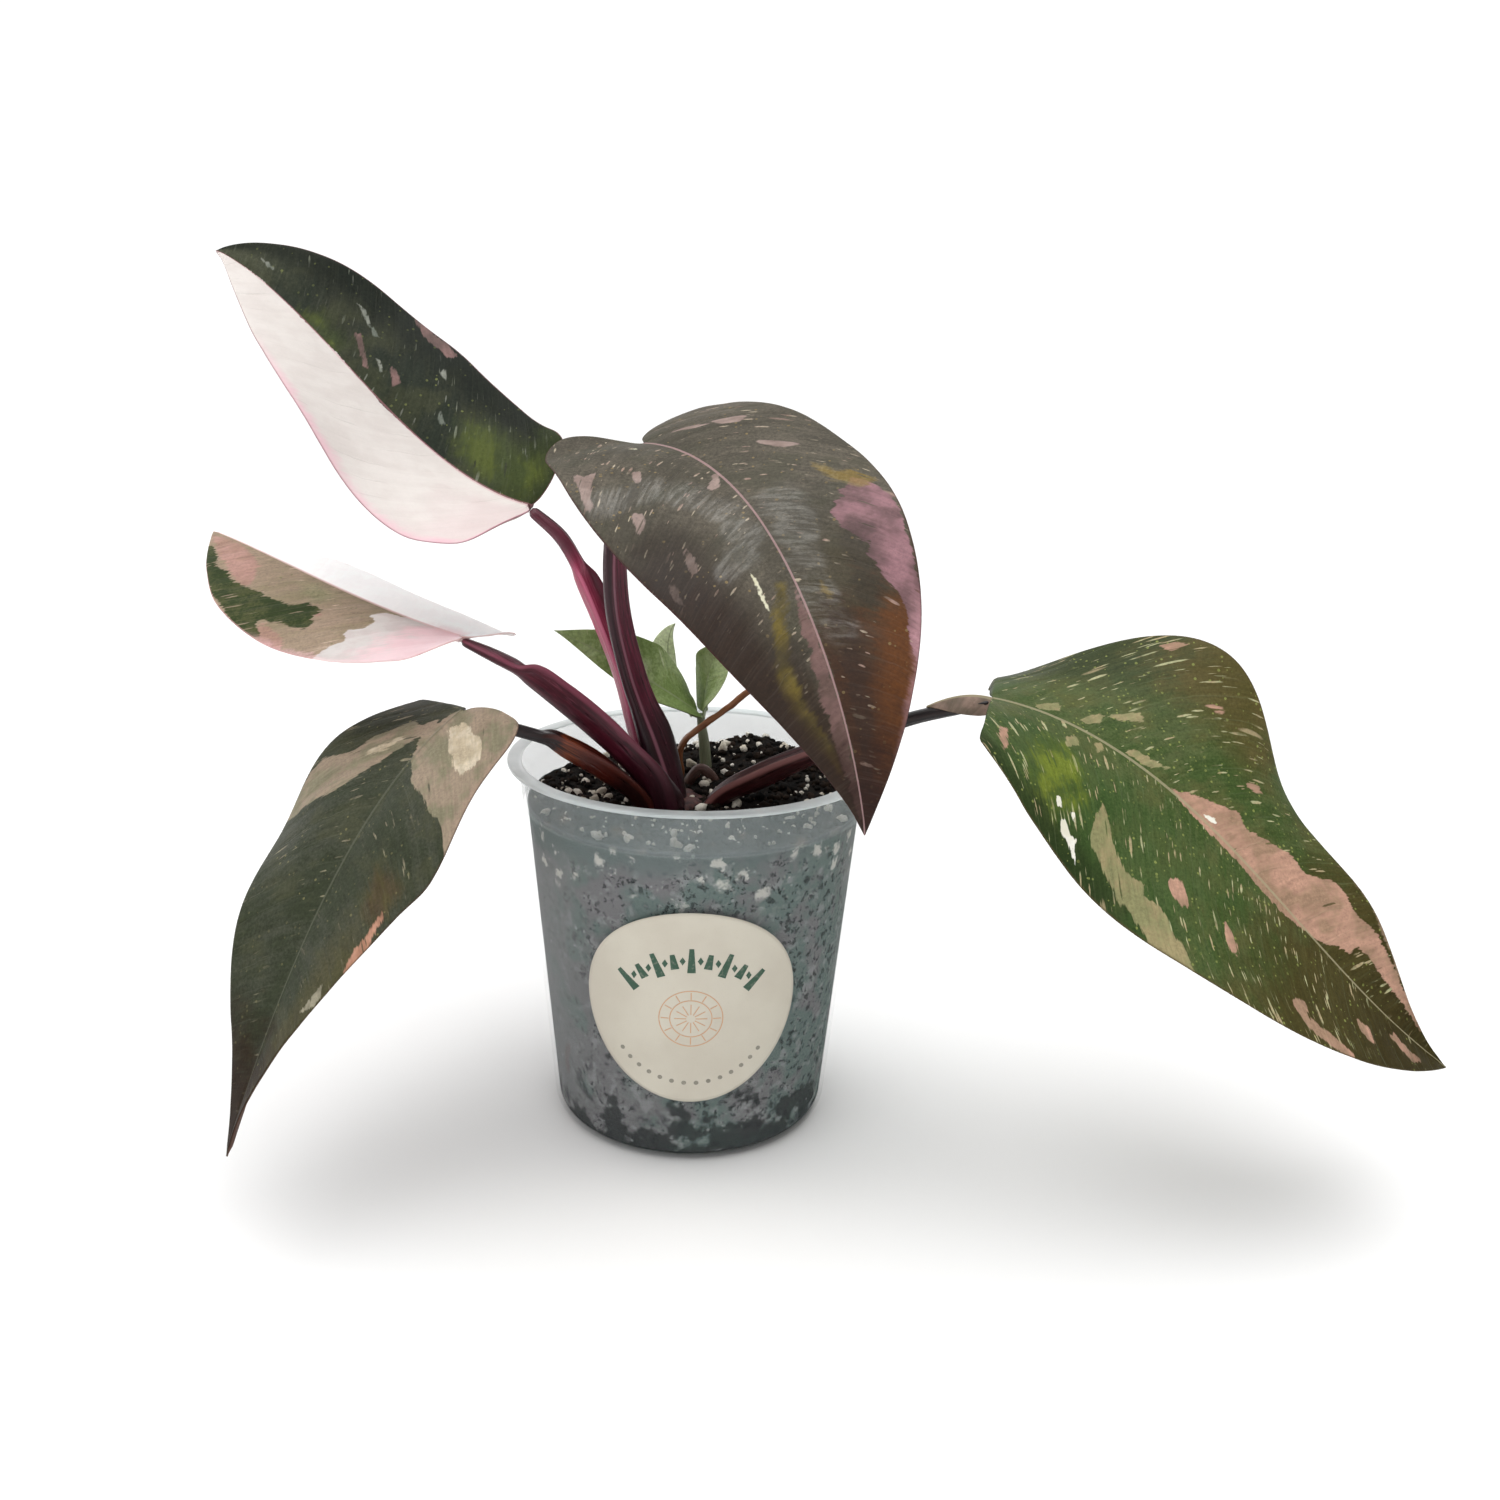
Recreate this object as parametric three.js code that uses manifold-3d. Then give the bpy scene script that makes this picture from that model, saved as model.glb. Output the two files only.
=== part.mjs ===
// A potted philodendron of the red anderson type: five variegated leaves on winged stalks and one small
// side shoot, in a translucent nursery pot filled with potting mix.
// Millimetres, +Z up. The origin is the centre of the pot's base, and a viewer in front looks along +Y.
import * as THREE from "three";
import { mergeVertices } from "three/addons/utils/BufferGeometryUtils.js";
import Module from "manifold-3d";

const wasm = await Module();
wasm.setup();

// Driving dimensions, in millimetres and degrees

const GAP = 0.3;

const POT = {
  height: 122.5,
  rimRadius: 60,
  rimThickness: 1.2,
  topRadius: 56.4,
  bottomRadius: 46.1,
  baseFillet: 6,
  wall: 1.1,
  segments: 56,
  drainHoles: 6,
  drainRing: 28,
  drainRadius: 4,
};

const MIX = {
  level: 108.5,
  moundHeight: 8,
  moundCentre: [26, 36],
  moundSpread: 20,
  rings: 16,
  lump: 1.9,
  seed: 7,
};

// The sticker is an egg with its wide end up, wrapped round the front of the pot.
const STICKER = {
  centreHeight: 57,
  height: 66,
  width: 67,
  topHeavy: 0.08,
  thickness: 0.4,
  segments: 36,
  rings: 5,
};

const CROWN = { centre: [-7, -6], radius: 12, top: 110, bottom: 60 };

const BLADE = {
  thickness: 0.8,
  rows: 24,
  columns: [0, 0.09, 0.32, 0.56, 0.79, 1],
  ridge: 1.5,
};

// Each blade starts at base and runs along its midrib. Heading turns it round Z from +X, pitch raises it and
// roll leans its left side up: each is given at the base, the middle and the tip. Each half has a width, the
// length of its basal lobe, the place of its widest point, how full it is towards the tip, how far the lobe
// lifts, the angle at which it folds up from the midrib and that by which it curls back, both at the base and
// the tip, and a wave: height, count and phase.
const LEAVES = [
  {
    name: "leaf_upper_left",
    base: [-53, 6.5, 200.5],
    length: 146,
    heading: [144, 158, 139],
    pitch: [5, 42, 14],
    roll: [-38, -28, -42],
    left: {
      ...{ width: 37.5, lobe: 7, belly: 0.16, full: 0.01, lift: 2.5 },
      ...{ fold: [25, 17], curl: [-15, -10], wave: [4, 1.7, 130] },
    },
    right: {
      ...{ width: 30.5, lobe: 5, belly: 0.33, full: 0.3, lift: 0 },
      ...{ fold: [26, 19], curl: [-12, -20], wave: [2, 1.9, -148] },
    },
  },
  {
    name: "leaf_centre",
    base: [-16, -11.5, 221.5],
    length: 154,
    heading: [-52, -60, -48],
    pitch: [3, -39, -79],
    roll: [14, 22, 24],
    left: {
      ...{ width: 38, lobe: 11, belly: 0.29, full: 0.15, lift: -1 },
      ...{ fold: [13, 8], curl: [-19, -20], wave: [1.5, 2, 54] },
    },
    right: {
      ...{ width: 41, lobe: 12, belly: 0.25, full: 0.04, lift: 3.5 },
      ...{ fold: [15, 5], curl: [-18, -22], wave: [1.5, 2.1, 16] },
    },
  },
  {
    name: "leaf_middle_left",
    base: [-73.5, -6.5, 161.5],
    length: 120,
    heading: [146, 145, 138],
    pitch: [5, 12, 6],
    roll: [0, -8, -8],
    left: {
      ...{ width: 35, lobe: 8, belly: 0.22, full: 0.22, lift: 1.5 },
      ...{ fold: [7, -3], curl: [-30, -30], wave: [0.5, 1.9, 36] },
    },
    right: {
      ...{ width: 27, lobe: 10, belly: 0.28, full: 0, lift: 2 },
      ...{ fold: [5, 0], curl: [-31, -29], wave: [0.5, 2, 0] },
    },
  },
  {
    name: "leaf_lower_left",
    base: [-70, -26, 143],
    length: 146,
    heading: [221, 231, 210],
    pitch: [-29, -54, -70],
    roll: [8, 3, 9],
    left: {
      ...{ width: 36, lobe: 4, belly: 0.37, full: -0.1, lift: -0.7 },
      ...{ fold: [6, 13], curl: [-25, -16], wave: [2, 1.7, -60] },
    },
    right: {
      ...{ width: 38, lobe: 5, belly: 0.28, full: 0.03, lift: -6 },
      ...{ fold: [6, 13], curl: [-15, -12], wave: [4, 1.9, 0] },
    },
  },
  {
    name: "leaf_right",
    base: [90, -27, 149.5],
    length: 181,
    heading: [-14, -19, 4],
    pitch: [-7, -43, -34],
    roll: [-3, 23, 27],
    left: {
      ...{ width: 46, lobe: 1.5, belly: 0.28, full: 0.02, lift: -3 },
      ...{ fold: [13, 23], curl: [0, -8], wave: [14.5, 1.7, -71] },
    },
    right: {
      ...{ width: 46.5, lobe: 1, belly: 0.2, full: 0.27, lift: 0 },
      ...{ fold: [0, 7], curl: [-32, -12], wave: [6, 1.2, 142] },
    },
  },
];

// One basal lobe of the right leaf is folded back over its stalk: a short blade from the same point.
const FOLDED_LOBE = {
  base: [90, -27, 149.7],
  length: 21,
  heading: [166, 166, 168],
  pitch: [14, -14, -30],
  roll: [-8, -8, -8],
  left: {
    ...{ width: 6.5, lobe: 1, belly: 0.25, full: 0.12, lift: 0 },
    ...{ fold: [-30, -20], curl: [-55, -30], wave: [0, 1, 0] },
  },
  right: {
    ...{ width: 5.5, lobe: 1, belly: 0.3, full: 0.12, lift: 0 },
    ...{ fold: [-30, -20], curl: [-55, -30], wave: [0, 1, 0] },
  },
};

// Each stalk is a line of stations, from the crown to its blade: the place of its axis, its width and depth
// across the axis, how far its two edges stand up as wings, and how deep its upper face is hollowed.
// Face is the direction that the hollow looks to. Later stalks give way to earlier ones where they meet.
const STALKS = [
  {
    name: "stalk_centre",
    face: [0.6, -0.75, 0.3],
    stations: [
      [-6.5, -8, 104, 11, 9, 0, 0.5],
      [-9, -8, 117, 11.5, 9.5, 0.5, 1.5],
      [-13.3, -8, 131, 12, 9, 1.5, 2],
      [-17, -8.5, 141, 9.5, 7.5, 1.5, 2],
      [-20, -9, 151, 9, 6.5, 1, 2],
      [-24.5, -9.5, 171, 8.5, 6.5, 0.8, 1.8],
      [-25.2, -10.5, 191, 7.5, 6, 0.4, 1.2],
      [-23, -11, 206, 5, 4.6, 0, 0.5],
      [-20, -11.5, 215, 4.6, 4.4, 0, 0.3],
      [-17, -11.5, 219.2, 4, 3.6, 0, 0.2],
    ],
  },
  {
    name: "stalk_middle_left",
    face: [0.45, 0.25, 0.85],
    stations: [
      [-8.5, -12.5, 104, 12, 12, 0, 0],
      [-9.5, -13, 111, 14, 13, 0, 0.5],
      [-14, -14, 119.5, 15, 10.5, 2.5, 2.5],
      [-21.5, -14.5, 127, 15, 8, 4, 4.6],
      [-31, -13, 135.5, 13.5, 8, 4.5, 4.8],
      [-42, -11.5, 144, 11, 7.5, 4.5, 4.4],
      [-51, -10.5, 150.5, 9, 6.5, 3.5, 3],
      [-54.5, -10, 152.5, 5.4, 5, 0.3, 0.6],
      [-62, -9, 156, 4.8, 4.6, 0, 0.3],
      [-71.5, -7, 159.6, 3.6, 3.2, 0, 0.2],
    ],
  },
  {
    name: "stalk_right",
    face: [-0.4, 0.1, 0.9],
    stations: [
      [2, -8, 104, 8, 7, 0, 0.5],
      [8, -9, 111.5, 10, 7.5, 1.5, 2.5],
      [21, -12, 119.3, 11, 8, 2.5, 3],
      [35, -15, 127, 10, 7, 2, 3],
      [48, -18, 133, 7, 5.5, 1, 1.5],
      [66, -21, 141.5, 5, 4.6, 0.2, 0.5],
      [80, -25, 146, 4.4, 4, 0, 0.3],
      [88.5, -27, 147.8, 3.8, 3.4, 0, 0.2],
    ],
  },
  {
    name: "stalk_lower_left",
    face: [0.2, 0.1, 0.95],
    stations: [
      [-14, -14, 104, 8, 7, 0, 0.5],
      [-18, -17.5, 115, 9, 7, 1, 2],
      [-29, -21, 124.5, 11, 7.5, 2.5, 3],
      [-39.5, -22.5, 131, 9.5, 6.5, 2.5, 2.5],
      [-44, -23, 134, 7.5, 5.5, 1.5, 1.5],
      [-47.5, -23.5, 135, 5, 4.4, 0.3, 0.6],
      [-57, -25, 138, 4.4, 4.2, 0, 0.3],
      [-68.5, -26, 141.6, 3.6, 3.2, 0, 0.2],
    ],
  },
  {
    name: "stalk_upper_left",
    face: [0.8, -0.5, 0.2],
    stations: [
      [-12, 1, 104, 8, 6, 0, 0.5],
      [-15, 1.5, 117, 9, 6, 1.5, 2],
      [-19, 2.5, 130, 9, 6, 2, 3],
      [-24, 4, 148, 8.5, 5.5, 2.5, 3],
      [-30, 5, 164, 9, 6, 3, 3.4],
      [-36, 6, 178, 7.6, 6, 2.5, 2.6],
      [-38, 6, 183, 5, 4.6, 0.2, 0.5],
      [-43, 6, 191.3, 4.6, 4.4, 0, 0.3],
      [-52.1, 6.5, 199.5, 4, 3.4, 0, 0.2],
    ],
  },
];

const STALK_SIDES = 12;

// The side shoot: a thin stem with three small leaves, whose blades start just clear of it.
const SHOOT_STEM = {
  name: "shoot_stem",
  face: [0, -1, 0],
  sides: 8,
  rings: 8,
  stations: [
    [4.2, 18, 100, 4, 4, 0, 0],
    [3.8, 18, 112, 4, 4, 0, 0],
    [2.9, 18, 122, 3.6, 3.6, 0, 0],
    [1.4, 18, 131.4, 2.3, 2.3, 0, 0],
  ],
};

const SHOOT_LEAVES = [
  {
    name: "shoot_leaf_left",
    base: [0.2, 17.6, 132],
    length: 55,
    heading: [206, 182, 174],
    pitch: [37, 31, 20],
    roll: [-15, -62, -90],
    left: {
      ...{ width: 6.9, lobe: 1, belly: 0.36, full: 0.06, lift: 0 },
      ...{ fold: [10, 8], curl: [-12, -10], wave: [0.6, 1.5, 0] },
    },
    right: {
      ...{ width: 13, lobe: 1, belly: 0.4, full: 0.08, lift: 0 },
      ...{ fold: [10, 8], curl: [-12, -10], wave: [0.6, 1.5, 90] },
    },
  },
  {
    name: "shoot_leaf_right",
    base: [3.4, 17.4, 132.6],
    length: 25,
    heading: [-32, -27, 10],
    pitch: [95, 77, 72],
    roll: [40, 49, 85],
    left: {
      ...{ width: 12, lobe: 1, belly: 0.4, full: 0.06, lift: 0 },
      ...{ fold: [14, 8], curl: [-12, -10], wave: [0.5, 1.3, 0] },
    },
    right: {
      ...{ width: 14.5, lobe: 1, belly: 0.34, full: 0.06, lift: 0 },
      ...{ fold: [14, 8], curl: [-12, -10], wave: [0.5, 1.3, 60] },
    },
  },
  {
    name: "shoot_leaf_back",
    base: [-1.1, 20.2, 130],
    length: 37.5,
    heading: [118, 128, 127],
    pitch: [20, 65, 135],
    roll: [28, 6, -100],
    left: {
      ...{ width: 10, lobe: 1, belly: 0.5, full: 0.12, lift: 0 },
      ...{ fold: [14, 8], curl: [-12, -10], wave: [0.4, 1.3, 0] },
    },
    right: {
      ...{ width: 3.8, lobe: 1, belly: 0.5, full: 0.12, lift: 0 },
      ...{ fold: [14, 8], curl: [-12, -10], wave: [0.4, 1.3, 60] },
    },
  },
];
const SMALL_BLADE = { thickness: 0.6, rows: 12, columns: [0, 0.12, 0.55, 1], ridge: 0.5 };

// A thin brown aerial root stands up from the crown and leans right, and a short one arches beside the shoot.
const ROOTS = [
  {
    name: "aerial_root",
    face: [0, -1, 0],
    sides: 8,
    rings: 16,
    stations: [
      [-4, 3, 104, 2.6, 2.6, 0, 0],
      [-4.6, 3.2, 114, 2.4, 2.4, 0, 0],
      [-4.6, 2.6, 124, 2.2, 2.2, 0, 0],
      [0, 3, 129.5, 2.2, 2.2, 0, 0],
      [8, 4.5, 135, 2, 2, 0, 0],
      [16.5, 8, 141, 2, 2, 0, 0],
      [25, 11, 146, 1.4, 1.4, 0, 0],
    ],
  },
  {
    name: "arched_root",
    face: [0, -1, 0],
    sides: 8,
    rings: 12,
    stations: [
      [-3, 9.5, 102, 3, 3, 0, 0],
      [-1.8, 9.5, 110, 3.4, 3.4, 0, 0],
      [2, 9.5, 114.6, 3.8, 3.8, 0, 0],
      [6.6, 9.5, 111, 3.2, 3.2, 0, 0],
      [8, 9.5, 102, 2.4, 2.4, 0, 0],
    ],
  },
];

// Shared geometry helpers

const radians = (degrees) => (degrees * Math.PI) / 180;
const mixed = (a, b, t) => a + (b - a) * t;
const clamped = (value, low, high) => Math.min(high, Math.max(low, value));
const plus = (p, q, scale = 1) => p.map((value, k) => value + q[k] * scale);
const minus = (p, q) => p.map((value, k) => value - q[k]);
const distance = (p, q, count = p.length) => Math.hypot(...minus(p, q).slice(0, count));
const cross = (p, q) => [
  p[1] * q[2] - p[2] * q[1],
  p[2] * q[0] - p[0] * q[2],
  p[0] * q[1] - p[1] * q[0],
];
const unit = (p) => p.map((value) => value / Math.hypot(...p));

// The value of a parabola that passes through a, b and c at 0, 1/2 and 1.
function bend([a, b, c], t) {
  return a * (1 - t) * (1 - 2 * t) + 4 * b * t * (1 - t) + c * t * (2 * t - 1);
}

// A smooth line through the given points, evenly spaced. Points may carry further values after the first
// measured coordinates, and those follow along.
function smoothLine(points, count, measured = points[0].length) {
  const last = points.length - 1;
  const knots = [0];
  for (let i = 1; i <= last; i += 1) {
    knots.push(knots[i - 1] + Math.sqrt(distance(points[i], points[i - 1], measured)));
  }
  const slope = (i, j) => minus(points[j], points[i]).map((value) => value / (knots[j] - knots[i]));
  const tangents = points.map((point, i) => {
    if (i === 0) return slope(0, 1);
    if (i === last) return slope(last - 1, last);
    const share = (knots[i] - knots[i - 1]) / (knots[i + 1] - knots[i - 1]);
    const before = slope(i - 1, i);
    return before.map((value, k) => mixed(value, slope(i, i + 1)[k], share));
  });
  const fine = [];
  const steps = 4 * count;
  for (let n = 0; n < steps; n += 1) {
    const at = (knots[last] * n) / (steps - 1);
    let i = 0;
    while (i < last - 1 && knots[i + 1] <= at) i += 1;
    const span = knots[i + 1] - knots[i];
    const s = (at - knots[i]) / span;
    const weights = [
      2 * s ** 3 - 3 * s ** 2 + 1,
      (s ** 3 - 2 * s ** 2 + s) * span,
      3 * s ** 2 - 2 * s ** 3,
      (s ** 3 - s ** 2) * span,
    ];
    fine.push(
      points[i].map(
        (value, k) =>
          weights[0] * value +
          weights[1] * tangents[i][k] +
          weights[2] * points[i + 1][k] +
          weights[3] * tangents[i + 1][k],
      ),
    );
  }
  const run = [0];
  for (let n = 1; n < steps; n += 1) run.push(run[n - 1] + distance(fine[n], fine[n - 1], measured));
  const line = [];
  let n = 0;
  for (let m = 0; m < count; m += 1) {
    const target = (run[steps - 1] * m) / (count - 1);
    while (n < steps - 2 && run[n + 1] < target) n += 1;
    const t = clamped((target - run[n]) / (run[n + 1] - run[n]), 0, 1);
    line.push(fine[n].map((value, k) => mixed(value, fine[n + 1][k], t)));
  }
  return line;
}

// Solids for joining and cutting

function solidOf(geometry) {
  const bare = geometry.clone();
  bare.deleteAttribute("normal");
  bare.deleteAttribute("uv");
  const merged = mergeVertices(bare, 1e-4);
  const corners = merged.index.array;
  const kept = [];
  for (let i = 0; i < corners.length; i += 3) {
    const [a, b, c] = corners.slice(i, i + 3);
    if (a !== b && b !== c && c !== a) kept.push(a, b, c);
  }
  const vertProperties = merged.attributes.position.array;
  return new wasm.Manifold(new wasm.Mesh({ numProp: 3, vertProperties, triVerts: new Uint32Array(kept) }));
}

function solidFrom(positions, triangles) {
  const geometry = new THREE.BufferGeometry();
  geometry.setAttribute("position", new THREE.Float32BufferAttribute(positions.flat(), 3));
  geometry.setIndex(triangles.flat());
  return solidOf(geometry);
}

function largestBody(solid) {
  const bodies = solid.decompose();
  return bodies.sort((a, b) => b.volume() - a.volume())[0];
}

function geometryOf(solid) {
  const { vertProperties, triVerts } = solid.getMesh();
  const geometry = new THREE.BufferGeometry();
  geometry.setAttribute("position", new THREE.BufferAttribute(vertProperties, 3));
  geometry.setIndex(new THREE.BufferAttribute(triVerts, 1));
  geometry.computeVertexNormals();
  return geometry;
}

function lathe(profile, segments) {
  const points = profile.map(([radius, height]) => new THREE.Vector2(radius, height));
  return new THREE.LatheGeometry(points, segments).rotateX(Math.PI / 2);
}

// The blade

function spineOf(leaf) {
  const steps = 80;
  const spine = [];
  let point = leaf.base;
  let previous = null;
  for (let n = 0; n <= steps; n += 1) {
    const t = n / steps;
    const heading = radians(bend(leaf.heading, t));
    const pitch = radians(bend(leaf.pitch, t));
    const roll = radians(bend(leaf.roll, t));
    const along = [Math.cos(pitch) * Math.cos(heading), Math.cos(pitch) * Math.sin(heading), Math.sin(pitch)];
    const level = [-Math.sin(heading), Math.cos(heading), 0];
    const above = cross(along, level);
    const left = plus(level.map((value) => value * Math.cos(roll)), above, Math.sin(roll));
    if (previous) {
      const half = leaf.length / steps / 2;
      point = plus(plus(point, previous, half), along, half);
    }
    previous = along;
    spine.push([...point, ...along, ...left, ...cross(along, left)]);
  }
  return spine;
}

function frameAt(leaf, x) {
  const place = clamped(x / leaf.length, 0, 1) * (leaf.spine.length - 1);
  const n = Math.min(Math.floor(place), leaf.spine.length - 2);
  const row = leaf.spine[n].map((value, k) => mixed(value, leaf.spine[n + 1][k], place - n));
  return { point: row.slice(0, 3), along: row.slice(3, 6), left: row.slice(6, 9), up: row.slice(9, 12) };
}

// Where the point of the flat blade lies that is x along the midrib and y across the given half.
function bladePoint(leaf, half, side, x, y) {
  const share = clamped(x / leaf.length, 0, 1);
  const { point, along, left, up } = frameAt(leaf, x);
  const fold = radians(mixed(...half.fold, share));
  const turn = radians(mixed(...half.curl, share)) / half.width;
  const bending = Math.abs(turn) < 1e-6 ? 1e-6 : turn;
  const across = (Math.sin(fold + bending * y) - Math.sin(fold)) / bending;
  const [height, count, phase] = half.wave;
  const wave = height * (y / half.width) ** 2 * Math.sin(2 * Math.PI * count * share + radians(phase));
  const behind = clamped(-x / half.lobe, 0, 2);
  const arch = (Math.cos(fold) - Math.cos(fold + bending * y)) / bending;
  const rise = arch + wave + half.lift * behind ** 2;
  return plus(plus(plus(point, along, Math.min(x, 0)), left, side * across), up, rise);
}

// The margin of one half, from the notch at the stalk round the basal lobe to the tip.
function marginOf(half, length, count) {
  const { width, lobe, belly, full } = half;
  const points = [
    [0, 0],
    [-0.55 * lobe, 0.1 * width],
    [-0.95 * lobe, 0.3 * width],
    [-0.95 * lobe, 0.55 * width],
    [-0.35 * lobe, 0.79 * width],
    [0.5 * belly * length, 0.965 * width],
    [belly * length, width],
    [0.46 * length, (0.88 + 0.5 * full) * width],
    [0.66 * length, (0.6 + full) * width],
    [0.8 * length, (0.345 + 0.9 * full) * width],
    [0.9 * length, (0.155 + 0.6 * full) * width],
    [0.96 * length, (0.05 + 0.3 * full) * width],
    [length, 0],
  ];
  const line = smoothLine(points, count);
  line[0] = points[0];
  line[count - 1] = points.at(-1);
  return line;
}

// One closed blade: both faces share their rows, which follow the side veins, and are split alike.
function bladeSolid(leaf, extra = 0) {
  const positions = [];
  const triangles = [];
  const { rows, ridge, columns } = { ...BLADE, ...leaf };
  const thickness = (leaf.thickness ?? BLADE.thickness) + 2 * extra;
  const margins = [leaf.left, leaf.right].map((half) => marginOf(half, leaf.length, rows + 1));
  const starts = margins[0].map((point, i) => {
    const [leftStart, rightStart] = margins.map((margin) => margin[i][0] - 0.5 * margin[i][1]);
    return Math.max(0, (leftStart + rightStart) / 2);
  });
  for (const side of [1, -1]) {
    const half = side > 0 ? leaf.left : leaf.right;
    const margin = side > 0 ? margins[0] : margins[1];
    const faces = [[], []];
    for (let i = 0; i <= rows; i += 1) {
      const [edgeX, edgeY] = margin[i];
      const row = columns.map((share) => {
        const x = mixed(starts[i], edgeX, share * (0.5 + 0.5 * share));
        const y = edgeY * share;
        const here = bladePoint(leaf, half, side, x, y);
        let up = frameAt(leaf, x).up;
        if (y > 0) {
          const near = (stepX, stepY) => bladePoint(leaf, half, side, x + stepX, y + stepY);
          const alongX = minus(near(0.5, 0), near(-0.5, 0));
          const alongY = minus(near(0, 0.5), near(0, -0.5));
          up = unit(cross(alongX, alongY)).map((value) => value * side);
        }
        const below = y > 0 ? 0 : ridge * (1 - (0.75 * x) / leaf.length) + extra;
        return [plus(here, up, thickness / 2), plus(here, up, -thickness / 2 - below)];
      });
      faces[0].push(row.map(([top]) => positions.push(top) - 1));
      faces[1].push(row.map(([, bottom]) => positions.push(bottom) - 1));
    }
    const add = (a, b, c) => triangles.push(side > 0 ? [a, b, c] : [a, c, b]);
    const [top, bottom] = faces;
    const edge = columns.length - 1;
    for (let i = 0; i < rows; i += 1) {
      for (let j = 0; j < edge; j += 1) {
        add(top[i][j], top[i + 1][j], top[i + 1][j + 1]);
        add(top[i][j], top[i + 1][j + 1], top[i][j + 1]);
        add(bottom[i][j], bottom[i + 1][j + 1], bottom[i + 1][j]);
        add(bottom[i][j], bottom[i][j + 1], bottom[i + 1][j + 1]);
      }
      add(top[i][edge], top[i + 1][edge], bottom[i + 1][edge]);
      add(top[i][edge], bottom[i + 1][edge], bottom[i][edge]);
    }
  }
  return solidFrom(positions, triangles);
}

// A stalk: rings of one hollowed section along its smooth axis, closed at both ends.
function stalkSolid(stalk, extra = 0) {
  const count = stalk.rings ?? 26;
  const sides = stalk.sides ?? STALK_SIDES;
  const line = smoothLine(stalk.stations, count, 3);
  const positions = [];
  const triangles = [];
  line.forEach(([x, y, z, width, depth, wing, hollow], i) => {
    const ahead = line[Math.min(i + 1, count - 1)].slice(0, 3);
    const behind = line[Math.max(i - 1, 0)].slice(0, 3);
    const along = unit(minus(ahead, behind));
    const across = unit(cross(along, stalk.face));
    const outward = cross(across, along);
    for (let k = 0; k < sides; k += 1) {
      const turn = (2 * Math.PI * k) / sides;
      const middle = Math.sin(turn) ** 2;
      const sunk = Math.sin(turn) > 0 ? hollow * middle : 0;
      const sideways = (width / 2 + extra) * Math.cos(turn);
      const raised = (depth / 2 + extra) * Math.sin(turn) + wing * (1 - middle) - sunk;
      positions.push(plus(plus([x, y, z], across, sideways), outward, raised));
    }
  });
  for (let i = 0; i < count - 1; i += 1) {
    for (let k = 0; k < sides; k += 1) {
      const next = (k + 1) % sides;
      const [a, b] = [i * sides + k, i * sides + next];
      triangles.push([a, b + sides, b], [a, a + sides, b + sides]);
    }
  }
  for (let k = 0; k < sides / 2; k += 1) {
    const ring = [k, k + 1, sides - k - 1, (sides - k) % sides];
    const end = ring.map((corner) => corner + (count - 1) * sides);
    triangles.push([ring[0], ring[1], ring[2]], [ring[0], ring[2], ring[3]]);
    triangles.push([end[0], end[2], end[1]], [end[0], end[3], end[2]]);
  }
  return solidFrom(positions, triangles);
}

// The pot

// The outline from the middle of the base round the fillet and up the wall, moved inwards by inset.
function potOutline(inset, top) {
  const { bottomRadius, topRadius, baseFillet, height, rimThickness } = POT;
  const radiusAt = (z) => {
    const share = (z - baseFillet) / (height - rimThickness - baseFillet);
    return mixed(bottomRadius, topRadius, share) - inset;
  };
  const outline = [[0, inset]];
  const steps = 4;
  for (let i = 0; i <= steps; i += 1) {
    const turn = (i / steps) * (Math.PI / 2);
    const reach = baseFillet - inset;
    outline.push([bottomRadius - baseFillet + reach * Math.sin(turn), baseFillet - reach * Math.cos(turn)]);
  }
  outline.push([radiusAt(top), top]);
  return outline;
}

function potRadiusAt(z) {
  return potOutline(0, z).at(-1)[0];
}

function potSolid() {
  const { height, rimRadius, rimThickness, wall, segments } = POT;
  const bevel = 0.3;
  const underRim = height - rimThickness;
  const outer = potOutline(0, underRim);
  const inner = potOutline(wall, height - bevel).reverse();
  const rim = [
    [rimRadius - bevel, underRim],
    [rimRadius, underRim + bevel],
    [rimRadius, height - bevel],
    [rimRadius - bevel, height],
    [inner[0][0] + bevel, height],
  ];
  let pot = solidOf(lathe([...outer, ...rim, ...inner], segments));
  const hole = new THREE.CylinderGeometry(POT.drainRadius, POT.drainRadius, 4 * wall, 12);
  hole.rotateX(Math.PI / 2);
  for (let i = 0; i < POT.drainHoles; i += 1) {
    const turn = ((i + 0.5) * 2 * Math.PI) / POT.drainHoles;
    const place = [POT.drainRing * Math.cos(turn), POT.drainRing * Math.sin(turn), 0];
    pot = pot.subtract(solidOf(hole.clone().translate(...place)));
  }
  return pot;
}

// The potting mix: its top is a low mound whose grid points are raised as crumbs and perlite lumps.
function seededRandom(seed) {
  let state = seed;
  return () => {
    state = (state * 16807) % 2147483647;
    return state / 2147483647;
  };
}

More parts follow.
